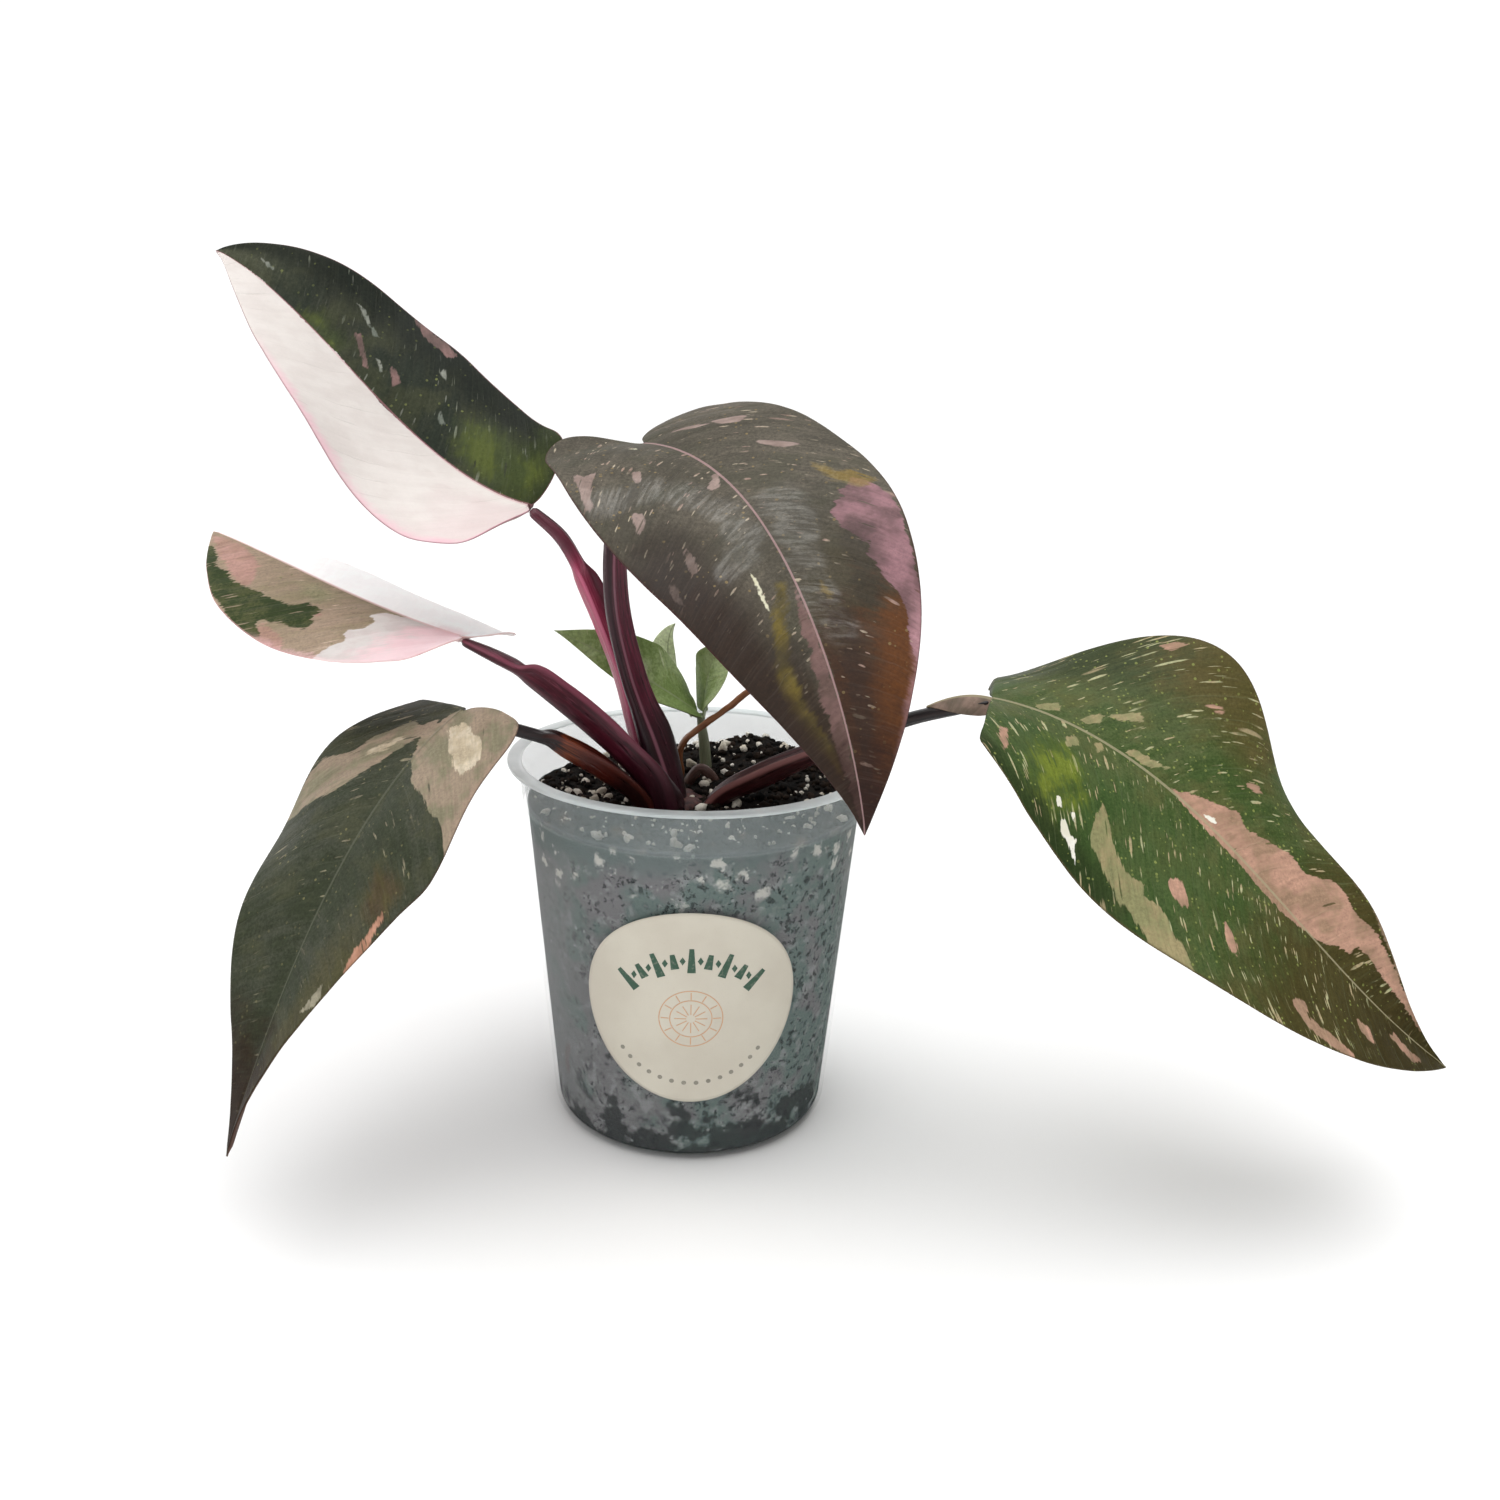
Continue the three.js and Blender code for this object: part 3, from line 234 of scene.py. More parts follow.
# A zone is a colour, its strength and the limits of its region: start and rise, and then fall and end where
# it ends again. A patch is a name, two colours, raggedness and softness in millimetres, strength, the share
# worn through, and its outlines: points in percent along the blade and across its left half, or below zero
# across its right half.
LOOKS = dict(
    leaf_upper_left=dict(
        slot="leaf_dark_and_white", body=((38, 44, 35), (52, 54, 44), (62, 65, 46)), fleck=(124, 128, 112),
        dashes=0.24, blotch=(118, 120, 110), blotches=0.03, dot=(120, 126, 74), dots=0.3, crowd=-0.04,
        vein=(90, 92, 80), rib=(196, 130, 142), rim=(150, 104, 108), under=(150, 112, 112), line=0.1,
        rib_share=0.35,
        zones=[
            ((82, 84, 66), 0.6, dict(along=(0.72, 0.9))), ((22, 27, 21), 0.8, dict(across=(-0.4, -0.85))),
            ((54, 62, 34), 0.7, dict(along=(0.14, 0.04))),
        ],
        patches=[
            ("olive", (88, 98, 44), (66, 76, 42), 7, 5, 0.75, 0.25,
             "45,-46 40,-59 34,-62 28,-50 16,-52 10,-45 28,-10 33,-7 39,-6 43,-12 45,-25; 79,-5 76,-24 "
             "71,-16 72,-2 76,-1"),
            ("pale", (146, 148, 138), (112, 118, 108), 1.6, 0.3, 0.85, 0.2,
             "72,-68 70,-67 69,-61 67,-55 66,-52 67,-49 69,-56 70,-60; 90,-54 88,-50 87,-41 88,-38; 50,-38 "
             "48,-30 49,-27 50,-31; 52,-75 51,-66 53,-66; 64,-32 65,-31 63,-24 62,-22"),
            ("pink", (138, 108, 104), (106, 86, 82), 2, 0.3, 0.85, 0.2,
             "70,-36 69,-41 68,-34 66,-23 65,-16 66,-14 68,-23; 61,-98 58,-101 56,-98 53,-98 50,-95 52,-86 "
             "54,-87 56,-86 59,-89; 62,-36 61,-38 59,-30 60,-21 61,-27"),
            ("white", (219, 212, 207), (214, 206, 201), 1.6, 0.15, 1, 0,
             "102,0 88,-3 80,2 70,-2 60,2 50,-1 0,0 0,120 102,120"),
        ],
        over=[
            ((214, 188, 190), 0.4, dict(along=(0.22, 0.02), across=(0.05, 0.2))),
            ((230, 176, 192), 0.6, dict(across=(0.88, 1), along=(0.75, 0.5))),
        ],
    ),
    leaf_centre=dict(
        slot="leaf_bronze", body=((66, 61, 49), (92, 85, 73), (58, 57, 41)), fleck=(176, 164, 142),
        dashes=0.28, blotch=(150, 124, 112), blotches=0.035, dot=(134, 114, 74), dots=0.28,
        vein=(124, 112, 102), rib=(178, 144, 144), rim=(70, 38, 38), under=(104, 44, 54), line=0.05,
        rough=0.62, rib_width=0.6, rib_share=0.6, gloss=0.24, dash=0.36,
        zones=[
            ((62, 55, 38), 0.85, dict(along=(0.42, 0.6), across=(0, 0.06))),
            ((57, 32, 16), 0.92, dict(along=(0.56, 0.74), across=(0, 0.05))),
            ((44, 30, 22), 0.6, dict(along=(0.62, 0.7, 0.84, 0.9), across=(0.15, 0.22, 0.34, 0.5), rough=2)),
            ((98, 55, 16), 0.7, dict(along=(0.58, 0.7, 0.9, 1), across=(0.4, 0.8), rough=1.5)),
            # Painted shade: a darker tone where the right half turns away from the light overhead.
            ((55, 47, 37), 0.8, dict(along=(0.3, 0.46), across=(-0.25, -0.6))),
            ((38, 24, 16), 0.9, dict(along=(0.3, 0.5), across=(-0.5, -0.85))),
            ((44, 31, 19), 0.85, dict(along=(0.6, 0.75), across=(-0.12, -0.4))),
            ((46, 22, 15), 0.85, dict(along=(0.86, 0.96), across=(0, 0.1))),
        ],
        patches=[
            ("olive", (106, 91, 32), (76, 66, 28), 4, 1.2, 0.85, 0.25,
             "69,-18 69,-8 72,-18 75,-35 77,-43 80,-50 82,-57 86,-55 89,-43 92,-57 89,-74 86,-81 82,-81 "
             "79,-71 76,-52 72,-36"),
            ("mauve", (118, 90, 86), (96, 74, 68), 3.5, 0.4, 0.9, 0.15,
             "70,-3 73,-8 76,-16 78,-14 80,-24 82,-24 84,-34 86,-30 88,-40 91,-42 93,-44 96,-48 98,-60 97,2 "
             "92,-3 76,-1"),
            ("blush", (154, 134, 126), (134, 114, 106), 2.2, 0.3, 0.9, 0.15,
             "32,-87 34,-82 35,-69 36,-78 38,-88 40,-91 40,-96 38,-94 35,-92; 40,-51 41,-45 43,-52 43,-56 "
             "42,-56; 49,-6 49,2 52,-9 52,-18 51,-18 50,-9; 46,-75 48,-67 49,-69 50,-75 50,-81 49,-78 "
             "48,-78; 59,-87 60,-84 62,-89 63,-91 62,-94 60,-92; 31,20 32,34 34,42 34,30; 33,44 33,66 34,67 "
             "36,54 35,44; 43,44 44,57 45,69 46,53 44,43; 57,-62 59,-60 61,-68 60,-71"),
            ("pink", (142, 104, 110), (108, 80, 82), 3.2, 0.25, 1, 0.2,
             "53,78 55,72 56,63 57,65 58,58 60,51 62,53 64,64 64,71 66,65 67,70 69,75 70,81 71,86 73,90 "
             "74,89 76,93 78,98 78,103 70,104 66,98 62,97 56,97 54,93 53,84"),
            ("gold", (124, 102, 40), (128, 112, 70), 4, 1, 0.75, 0.3,
             "50,60 52,72 51,84 53,92 55,80 54,64; 70,22 71,26 72,24 71,20"),
            ("white", (210, 206, 180), (190, 184, 150), 1, 0.2, 1, 0,
             "66,-34 67,-32 71,-36 72,-39 69,-38; 33,-30 34,-24 35,-26"),
        ],
        over=[
            ((196, 150, 156), 0.4, dict(along=(0.6, 0.72, 0.8, 0.95), across=(0.9, 1))),
            ((34, 22, 15), 0.8, dict(along=(0.36, 0.56), across=(-0.6, -0.92))),
            ((36, 14, 6), 0.8, dict(along=(0.76, 0.92))),
            ((42, 28, 18), 0.8, dict(along=(0.44, 0.6), across=(-0.48, -0.8))),
        ],
    ),
    leaf_middle_left=dict(
        slot="leaf_pale", body=((152, 134, 114), (134, 124, 97), (164, 141, 124)), fleck=(200, 176, 158),
        dashes=0.3, blotch=(190, 168, 150), blotches=0.05, dot=(120, 120, 84), dots=0.3, vein=(196, 176, 160),
        rib=(226, 190, 190), rim=(214, 168, 166), under=(196, 160, 152), line=0.05, rib_share=0.6, bump=0.3,
        thin=True,
        patches=[
            ("sage", (134, 132, 100), (150, 142, 112), 6, 3, 0.8, 0.1, "67,21 66,8 61,12 58,24 59,35 63,36"),
            ("pink", (178, 138, 128), (160, 126, 112), 5, 0.8, 0.85, 0.1,
             "101,100 94,29 90,10 85,22 80,28 75,45 72,62 73,70 80,72 85,73 91,75; 58,85 56,83 52,86 48,93 "
             "46,102 52,100 56,95; 55,50 54,45 53,47 53,53"),
            ("green", (46, 58, 27), (70, 75, 43), 5, 0.3, 1, 0.4,
             "84,102 84,82 82,81 79,73 75,72 71,65 68,61 64,58 60,54 59,44 55,39 54,53 51,62 50,70 53,74 "
             "56,77 59,82 58,89 54,95 55,102 64,100 69,98 79,101; 92,103 93,89 88,82 84,82 84,103"),
            ("white", (188, 183, 180), (181, 172, 170), 4, 0.2, 1, 0,
             "0,0 42,0 45,2 48,8 48,24 45,29 43,45 44,56 40,70 40,79 38,103 0,103"),
            ("bright", (255, 250, 248), (252, 244, 243), 0.3, 0.15, 1, 0, "102,0 0,0 0,-120 102,-120"),
        ],
        over=[
            ((232, 176, 186), 0.6, dict(along=(0.16, 0.03), across=(-0.3, 0))),
            ((230, 184, 190), 0.4, dict(along=(0.5, 0.4), across=(0.93, 1))),
            ((234, 196, 202), 0.4, dict(across=(-0.93, -1))),
        ],
    ),
    leaf_lower_left=dict(
        slot="leaf_dark", body=((51, 56, 41), (66, 68, 57), (64, 66, 46)), fleck=(138, 132, 108), dashes=0.24,
        blotch=(120, 112, 94), blotches=0.02, dot=(116, 112, 76), dots=0.35, crowd=-0.03, vein=(94, 96, 80),
        rib=(100, 102, 86), rim=(70, 52, 44), under=(118, 92, 84), line=0.1, rib_share=0.4, rib_width=0.6,
        zones=[
            ((80, 74, 46), 0.5, dict(along=(0.4, 0.6), across=(0.35, 0.75))),
            ((34, 17, 4), 0.9, dict(along=(0.66, 0.86))), ((36, 22, 16), 0.8, dict(along=(0.9, 0.98))),
        ],
        patches=[
            ("brown", (92, 78, 44), (80, 60, 40), 6, 3, 0.5, 0.2,
             "54,49 52,71 52,86 56,93 58,87 58,67 56,56"),
            ("pale", (150, 144, 124), (116, 112, 94), 3, 0.3, 0.9, 0.2, "74,84 71,83 69,85 70,95 72,98"),
            ("orange", (186, 140, 118), (160, 116, 94), 3, 0.4, 0.9, 0.3,
             "56,86 58,87 60,89 62,90 64,95 65,99 64,103 60,101 58,95 56,94"),
            ("pink", (146, 130, 112), (124, 118, 96), 3.2, 0.25, 1, 0.16,
             "26,-1 30,-8 34,-12 36,-9 40,1 42,23 42,40 42,60 41,75 41,85 43,102 0,104 0,19; 31,-26 30,-14 "
             "32,-6 34,-14 36,-19 38,-25 40,-32 42,-40 44,-48 45,-59 45,-74 46,-86 46,-103 40,-98 38,-97 "
             "36,-91 36,-79 36,-66 34,-62 32,-52 30,-41"),
            ("cream", (196, 184, 162), (176, 162, 138), 4, 0.3, 0.95, 0.2,
             "31,12 28,26 28,46 27,66 28,81 30,79 33,75 34,64 34,55 33,37 32,21; 38,-53 36,-47 34,-36 34,-27 "
             "37,-33 38,-46"),
        ],
        over=[((170, 140, 126), 0.5, dict(along=(0.3, 0.2), across=(0.9, 1)))],
    ),
    leaf_right=dict(
        slot="leaf_green", body=((60, 78, 38), (80, 90, 54), (84, 86, 48)), fleck=(176, 176, 136),
        dashes=0.42, blotch=(168, 152, 118), blotches=0.08, dot=(134, 142, 78), dots=0.6, crowd=0.08,
        vein=(120, 130, 96), rib=(160, 152, 122), rim=(84, 72, 48), under=(124, 118, 90), line=0.12,
        zones=[
            ((56, 80, 40), 0.5, dict(across=(-0.1, -0.4), along=(0.6, 0.4))),
            # Painted shade: darker near the base of the left half, where the leaf lies in shade.
            ((54, 60, 38), 0.85, dict(along=(0.34, 0.14), across=(0.3, 0.75))),
            ((92, 75, 44), 0.65, dict(along=(0.16, 0.28, 0.36, 0.5), across=(0.45, 0.8))),
            ((66, 56, 27), 0.85, dict(along=(0.48, 0.7))), ((50, 42, 18), 0.85, dict(along=(0.72, 0.9))),
            ((38, 50, 24), 0.8, dict(along=(0.5, 0.3), across=(-0.72, -0.95))),
        ],
        patches=[
            ("lime", (116, 128, 44), (72, 88, 38), 14, 4, 0.75, 0.6,
             "30,-50 33,-34 36,-29 38,-45 38,-68 33,-81 29,-82 28,-76"),
            ("lobe", (136, 116, 104), (108, 96, 84), 3, 0.25, 1, 0.1, ""),
            ("beige", (150, 138, 102), (132, 130, 92), 3, 0.25, 1, 0.12,
             "40,-71 41,-58 42,-52 43,-57 44,-66 46,-73 48,-75 50,-72 50,-79 52,-77 54,-80 55,-87 56,-89 "
             "57,-97 58,-102 52,-102 51,-98 48,-91 46,-91 44,-86 42,-81 41,-80 40,-77; 45,3 46,12 48,12 "
             "50,15 49,7 48,3; 38,9 39,24 40,17 39,9; 40,26 42,40 43,34 41,26; 32,6 34,19 35,10 33,3; 41,-6 "
             "42,-3 42,-12 41,-17; 36,-21 38,-12 38,-23 36,-30"),
            ("pink", (178, 140, 120), (152, 124, 102), 3, 0.25, 1, 0.14,
             "52,2 54,10 57,22 59,33 61,26 64,39 66,51 69,51 70,61 71,79 73,80 76,76 79,86 82,90 85,93 88,96 "
             "91,103 94,103 93,85 89,75 86,64 83,59 80,53 80,35 78,11 76,1 73,-6 69,-9 64,-6 56,-5 54,-2; "
             "53,-60 54,-58 55,-54 56,-57 57,-65 56,-69 54,-65; 62,-57 63,-58 64,-65 64,-74 63,-72 62,-65; "
             "72,-74 74,-72 74,-82 76,-85 78,-90 80,-96 80,-102 78,-100 76,-97 74,-93 73,-89 72,-80; 33,92 "
             "36,96 36,92 36,88; 55,58 56,66 57,68 57,61 56,56; 83,-54 85,-55 85,-75 84,-73 83,-63; 90,-32 "
             "94,-69 92,-83 89,-45; 20,-53 24,-50 22,-72 21,-82 20,-73; 44,67 45,73 46,78 46,71"),
            ("white", (234, 232, 222), (222, 218, 200), 2, 0.15, 1, 0.05,
             "34,-81 35,-80 36,-84 38,-82 37,-87 38,-92 38,-95 37,-93 36,-89 34,-88; 57,4 58,11 59,7 58,3; "
             "33,-72 34,-71 34,-76 33,-78; 36,-72 37,-71 37,-77 36,-76"),
        ],
        over=[
            ((176, 150, 128), 0.5, dict(along=(0.62, 0.75), across=(0.96, 1))),
            ((48, 42, 12), 0.55, dict(along=(0.84, 0.97))),
        ],
    ),
)

SHOOT_LOOK = dict(
    fleck=(180, 188, 150), dashes=0.4, blotch=(170, 180, 140), blotches=0.15, dot=(140, 150, 96), dots=0.3,
    crowd=0.06, vein=(130, 142, 106), rib=(140, 150, 112), rim=(120, 128, 92), line=0.08, rib_width=0.5,
)
SHOOT_TONES = dict(
    shoot_leaf=dict(body=((118, 138, 82), (138, 156, 102), (164, 178, 134)), under=(132, 142, 108)),
    shoot_leaf_pale=dict(body=((226, 236, 198), (234, 242, 212), (206, 220, 174)), under=(238, 244, 216)),
)

# Curves and noise


def bend(values, t):
    """The value of a parabola that passes through the three values at 0, 1/2 and 1."""
    a, b, c = values
    return a * (1 - t) * (1 - 2 * t) + 4 * b * t * (1 - t) + c * t * (2 * t - 1)


def smooth_line(points, count, measured=None):
    """Evenly spaced points on a smooth line through the given ones."""
    points = np.array(points, float)
    measured = measured or points.shape[1]
    steps = np.sqrt(np.linalg.norm(np.diff(points[:, :measured], axis=0), axis=1))
    knots = np.concatenate([[0], np.cumsum(steps)])
    slopes = np.diff(points, axis=0) / steps[:, None]
    share = (steps[:-1] / (steps[:-1] + steps[1:]))[:, None]
    inner = slopes[:-1] + (slopes[1:] - slopes[:-1]) * share
    tangents = np.concatenate([slopes[:1], inner, slopes[-1:]])
    at = np.linspace(0, knots[-1], 4 * count)
    i = np.clip(np.searchsorted(knots, at, side="right") - 1, 0, len(points) - 2)
    span = steps[i][:, None]
    s = (at - knots[i])[:, None] / span
    fine = (
        (2 * s**3 - 3 * s**2 + 1) * points[i] + (s**3 - 2 * s**2 + s) * span * tangents[i]
        + (3 * s**2 - 2 * s**3) * points[i + 1] + (s**3 - s**2) * span * tangents[i + 1]
    )
    run = run_along(fine[:, :measured])
    even = np.linspace(0, run[-1], count)
    return np.stack([np.interp(even, run, column) for column in fine.T], -1)


def run_along(line):
    return np.concatenate([[0], np.cumsum(np.linalg.norm(np.diff(line, axis=0), axis=1))])


def unit(vectors):
    return vectors / np.linalg.norm(vectors, axis=-1, keepdims=True)


def hump(x, y, place_x, place_y, radius):
    return np.exp(-((x - place_x) ** 2 + (y - place_y) ** 2) / radius**2)


def soft_noise(points, size, seed):
    """Smooth noise from -1 to 1 at 3-D points, with features of about the given size."""
    p = np.asarray(points, float) / size + seed * 17.31
    cell = np.floor(p).astype(np.int64)
    f = p - cell
    f = f * f * (3 - 2 * f)
    total = 0
    for corner in np.ndindex(2, 2, 2):
        key = cell + corner
        mixed = (key[..., 0] * 73856093) ^ (key[..., 1] * 19349663) ^ (key[..., 2] * 83492791)
        mixed = (mixed ^ (mixed >> 13)) * 1274126177
        value = ((mixed ^ (mixed >> 16)) & 0xFFFF) / 32767.5 - 1
        total = total + np.prod(np.where(corner, f, 1 - f), axis=-1) * value
    return total


# Meshes


def add_object(name, data):
    item = bpy.data.objects.new(name, data)
    bpy.context.scene.collection.objects.link(item)
    return item


def make_piece(name, points, faces, materials, node, slot_name, attributes=None, slots=None, smooth=True):
    """A piece from points in millimetres, riding on the root, with the CAD node that it stands for hidden if
    one is named.
    """
    mesh = bpy.data.meshes.new(name)
    mesh.from_pydata((np.asarray(points) * MM).tolist(), [], faces)
    for key, values in (attributes or {}).items():
        values = np.asarray(values, np.float32)
        kind, field = ("FLOAT", "value") if values.ndim == 1 else ("FLOAT_VECTOR", "vector")
        mesh.attributes.new(key, kind, "POINT").data.foreach_set(field, values.ravel())
    for material in materials:
        mesh.materials.append(material)
    if slots is not None:
        mesh.polygons.foreach_set("material_index", np.asarray(slots, np.int32))
    mesh.polygons.foreach_set("use_smooth", np.full(len(faces), smooth))
    mesh.validate()
    mesh.update()
    piece = add_object(name, mesh)
    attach(piece, "root")
    if node:
        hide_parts(node)
    return piece


def loop_faces(rings, around, caps=True):
    """Faces between rings of points, each ring a closed loop, with the two ends capped."""
    faces = []
    for i in range(rings - 1):
        for k in range(around):
            n = (k + 1) % around
            faces.append((i * around + k, i * around + n, (i + 1) * around + n, (i + 1) * around + k))
    if caps:
        faces.append(tuple(reversed(range(around))))
        faces.append(tuple(range((rings - 1) * around, rings * around)))
    return faces


def full_turn(count):
    return np.linspace(0, 2 * np.pi, count, endpoint=False)


def lathe(profile, segments):
    """A closed solid of revolution. The profile runs from one point on the axis to another."""
    profile = np.array(profile, float)
    turn, radius, height = full_turn(segments), profile[1:-1, :1], profile[1:-1, 1:]
    points = np.stack([radius * np.cos(turn), radius * np.sin(turn), height + 0 * turn], -1).reshape(-1, 3)
    rings = len(radius)
    faces = loop_faces(rings, segments, caps=False)
    first, last, top = len(points), len(points) + 1, (rings - 1) * segments
    points = np.concatenate([points, [[0, 0, profile[0, 1]], [0, 0, profile[-1, 1]]]])
    for k in range(segments):
        n = (k + 1) % segments
        faces += [(first, n, k), (last, top + k, top + n)]
    return points, faces


# Leaf geometry


def spine_of(leaf):
    """Shares along the midrib, and at each its point, its way along, its way to the left and its way up."""
    count = 80
    t = np.linspace(0, 1, count + 1)
    heading, pitch, roll = (np.radians(bend(leaf[key], t)) for key in ("heading", "pitch", "roll"))
    along = np.stack([np.cos(pitch) * np.cos(heading), np.cos(pitch) * np.sin(heading), np.sin(pitch)], -1)
    level = np.stack([-np.sin(heading), np.cos(heading), 0 * heading], -1)
    left = level * np.cos(roll)[:, None] + np.cross(along, level) * np.sin(roll)[:, None]
    steps = (along[1:] + along[:-1]) / 2 * leaf["length"] / count
    point = np.array(leaf["base"], float) + np.concatenate([[[0, 0, 0]], np.cumsum(steps, axis=0)])
    return t, np.concatenate([point, along, left, np.cross(along, left)], -1)


def blade_point(leaf, side, x, y):
    """Where the point of the flat blade lies that is x along the midrib and y across the given half."""
    half = leaf["left" if side > 0 else "right"]
    share = np.clip(x / leaf["length"], 0, 1)
    t, spine = leaf["spine"]
    at = np.stack([np.interp(share, t, column) for column in spine.T], -1)
    point, along, left, up = np.split(at, 4, axis=-1)
    fold, curl = (np.radians(start + (end - start) * share) for start, end in (half.fold, half.curl))
    turn = curl / half.width
    turn = np.where(np.abs(turn) < 1e-6, 1e-6, turn)
    across = (np.sin(fold + turn * y) - np.sin(fold)) / turn
    height, count, phase = half.wave
    wave = height * (y / half.width) ** 2 * np.sin(2 * np.pi * count * share + math.radians(phase))
    behind = np.clip(-x / half.lobe, 0, 2)
    rise = (np.cos(fold) - np.cos(fold + turn * y)) / turn + wave + half.lift * behind**2
    place = point + along * np.minimum(x, 0)[..., None]
    return place + left * (side * across)[..., None] + up * rise[..., None]


def margin_of(half, length, count):
    """The margin of one half, from the notch at the stalk round the basal lobe to the tip."""
    width, lobe, belly, full = half[:4]
    on_lobe = [(-0.55, 0.1), (-0.95, 0.3), (-0.95, 0.55), (-0.35, 0.79)]
    on_blade = [
        (0.46, 0.88 + 0.5 * full), (0.66, 0.6 + full), (0.8, 0.345 + 0.9 * full), (0.9, 0.155 + 0.6 * full),
        (0.96, 0.05 + 0.3 * full), (1, 0),
    ]
    points = [(0, 0), *((along * lobe, out * width) for along, out in on_lobe)]
    points += [(0.5 * belly * length, 0.965 * width), (belly * length, width)]
    points += [(along * length, out * width) for along, out in on_blade]
    line, pull = smooth_line(points, count), 0.15
    line[0] = line[0] + (line[1] - line[0]) * pull
    line[-1] = line[-1] + (line[-2] - line[-1]) * pull
    return line


def flat_place(margins, starts, u, c):
    """Flat coordinates, x along and y to the left, of station u and signed width share c."""
    at = np.clip(u, 0, 1) * (len(starts) - 1)
    index = np.arange(len(starts))
    share, start = np.abs(c), np.interp(at, index, starts)
    flat = []
    for side in (1, -1):
        edge_x, edge_y = (np.interp(at, index, column) for column in margins[side].T)
        flat.append((start + (edge_x - start) * share * (0.5 + 0.5 * share), side * edge_y * share))
    return tuple(np.where(c >= 0, *pair) for pair in zip(*flat))


def outlines_of(text):
    """Outlines from text: points in percent, and a semicolon between outlines. Long sides are divided."""
    for outline in filter(None, text.split(";")):
        corners = np.array([point.split(",") for point in outline.split()], float) / 100
        points = []
        for a, b in zip(corners, np.roll(corners, -1, axis=0)):
            count = max(1, math.ceil(np.abs(b - a).max() / 0.03))
            points += [a + (b - a) * k / count for k in range(count)]
        yield np.array(points)


def inside_distance(x, y, outline):
    """How far inside the closed outline each point lies, and below zero outside it."""
    best = np.full(x.shape, 1e9)
    inside = np.zeros(x.shape, bool)
    for (ax, ay), (bx, by) in zip(outline, np.roll(outline, -1, axis=0)):
        dx, dy = bx - ax, by - ay
        run = np.clip(((x - ax) * dx + (y - ay) * dy) / (dx**2 + dy**2 + 1e-9), 0, 1)
        best = np.minimum(best, np.hypot(x - ax - run * dx, y - ay - run * dy))
        inside ^= ((ay > y) != (by > y)) & (x < dx * (y - ay) / (dy + 1e-12) + ax)
    return np.where(inside, best, -best)


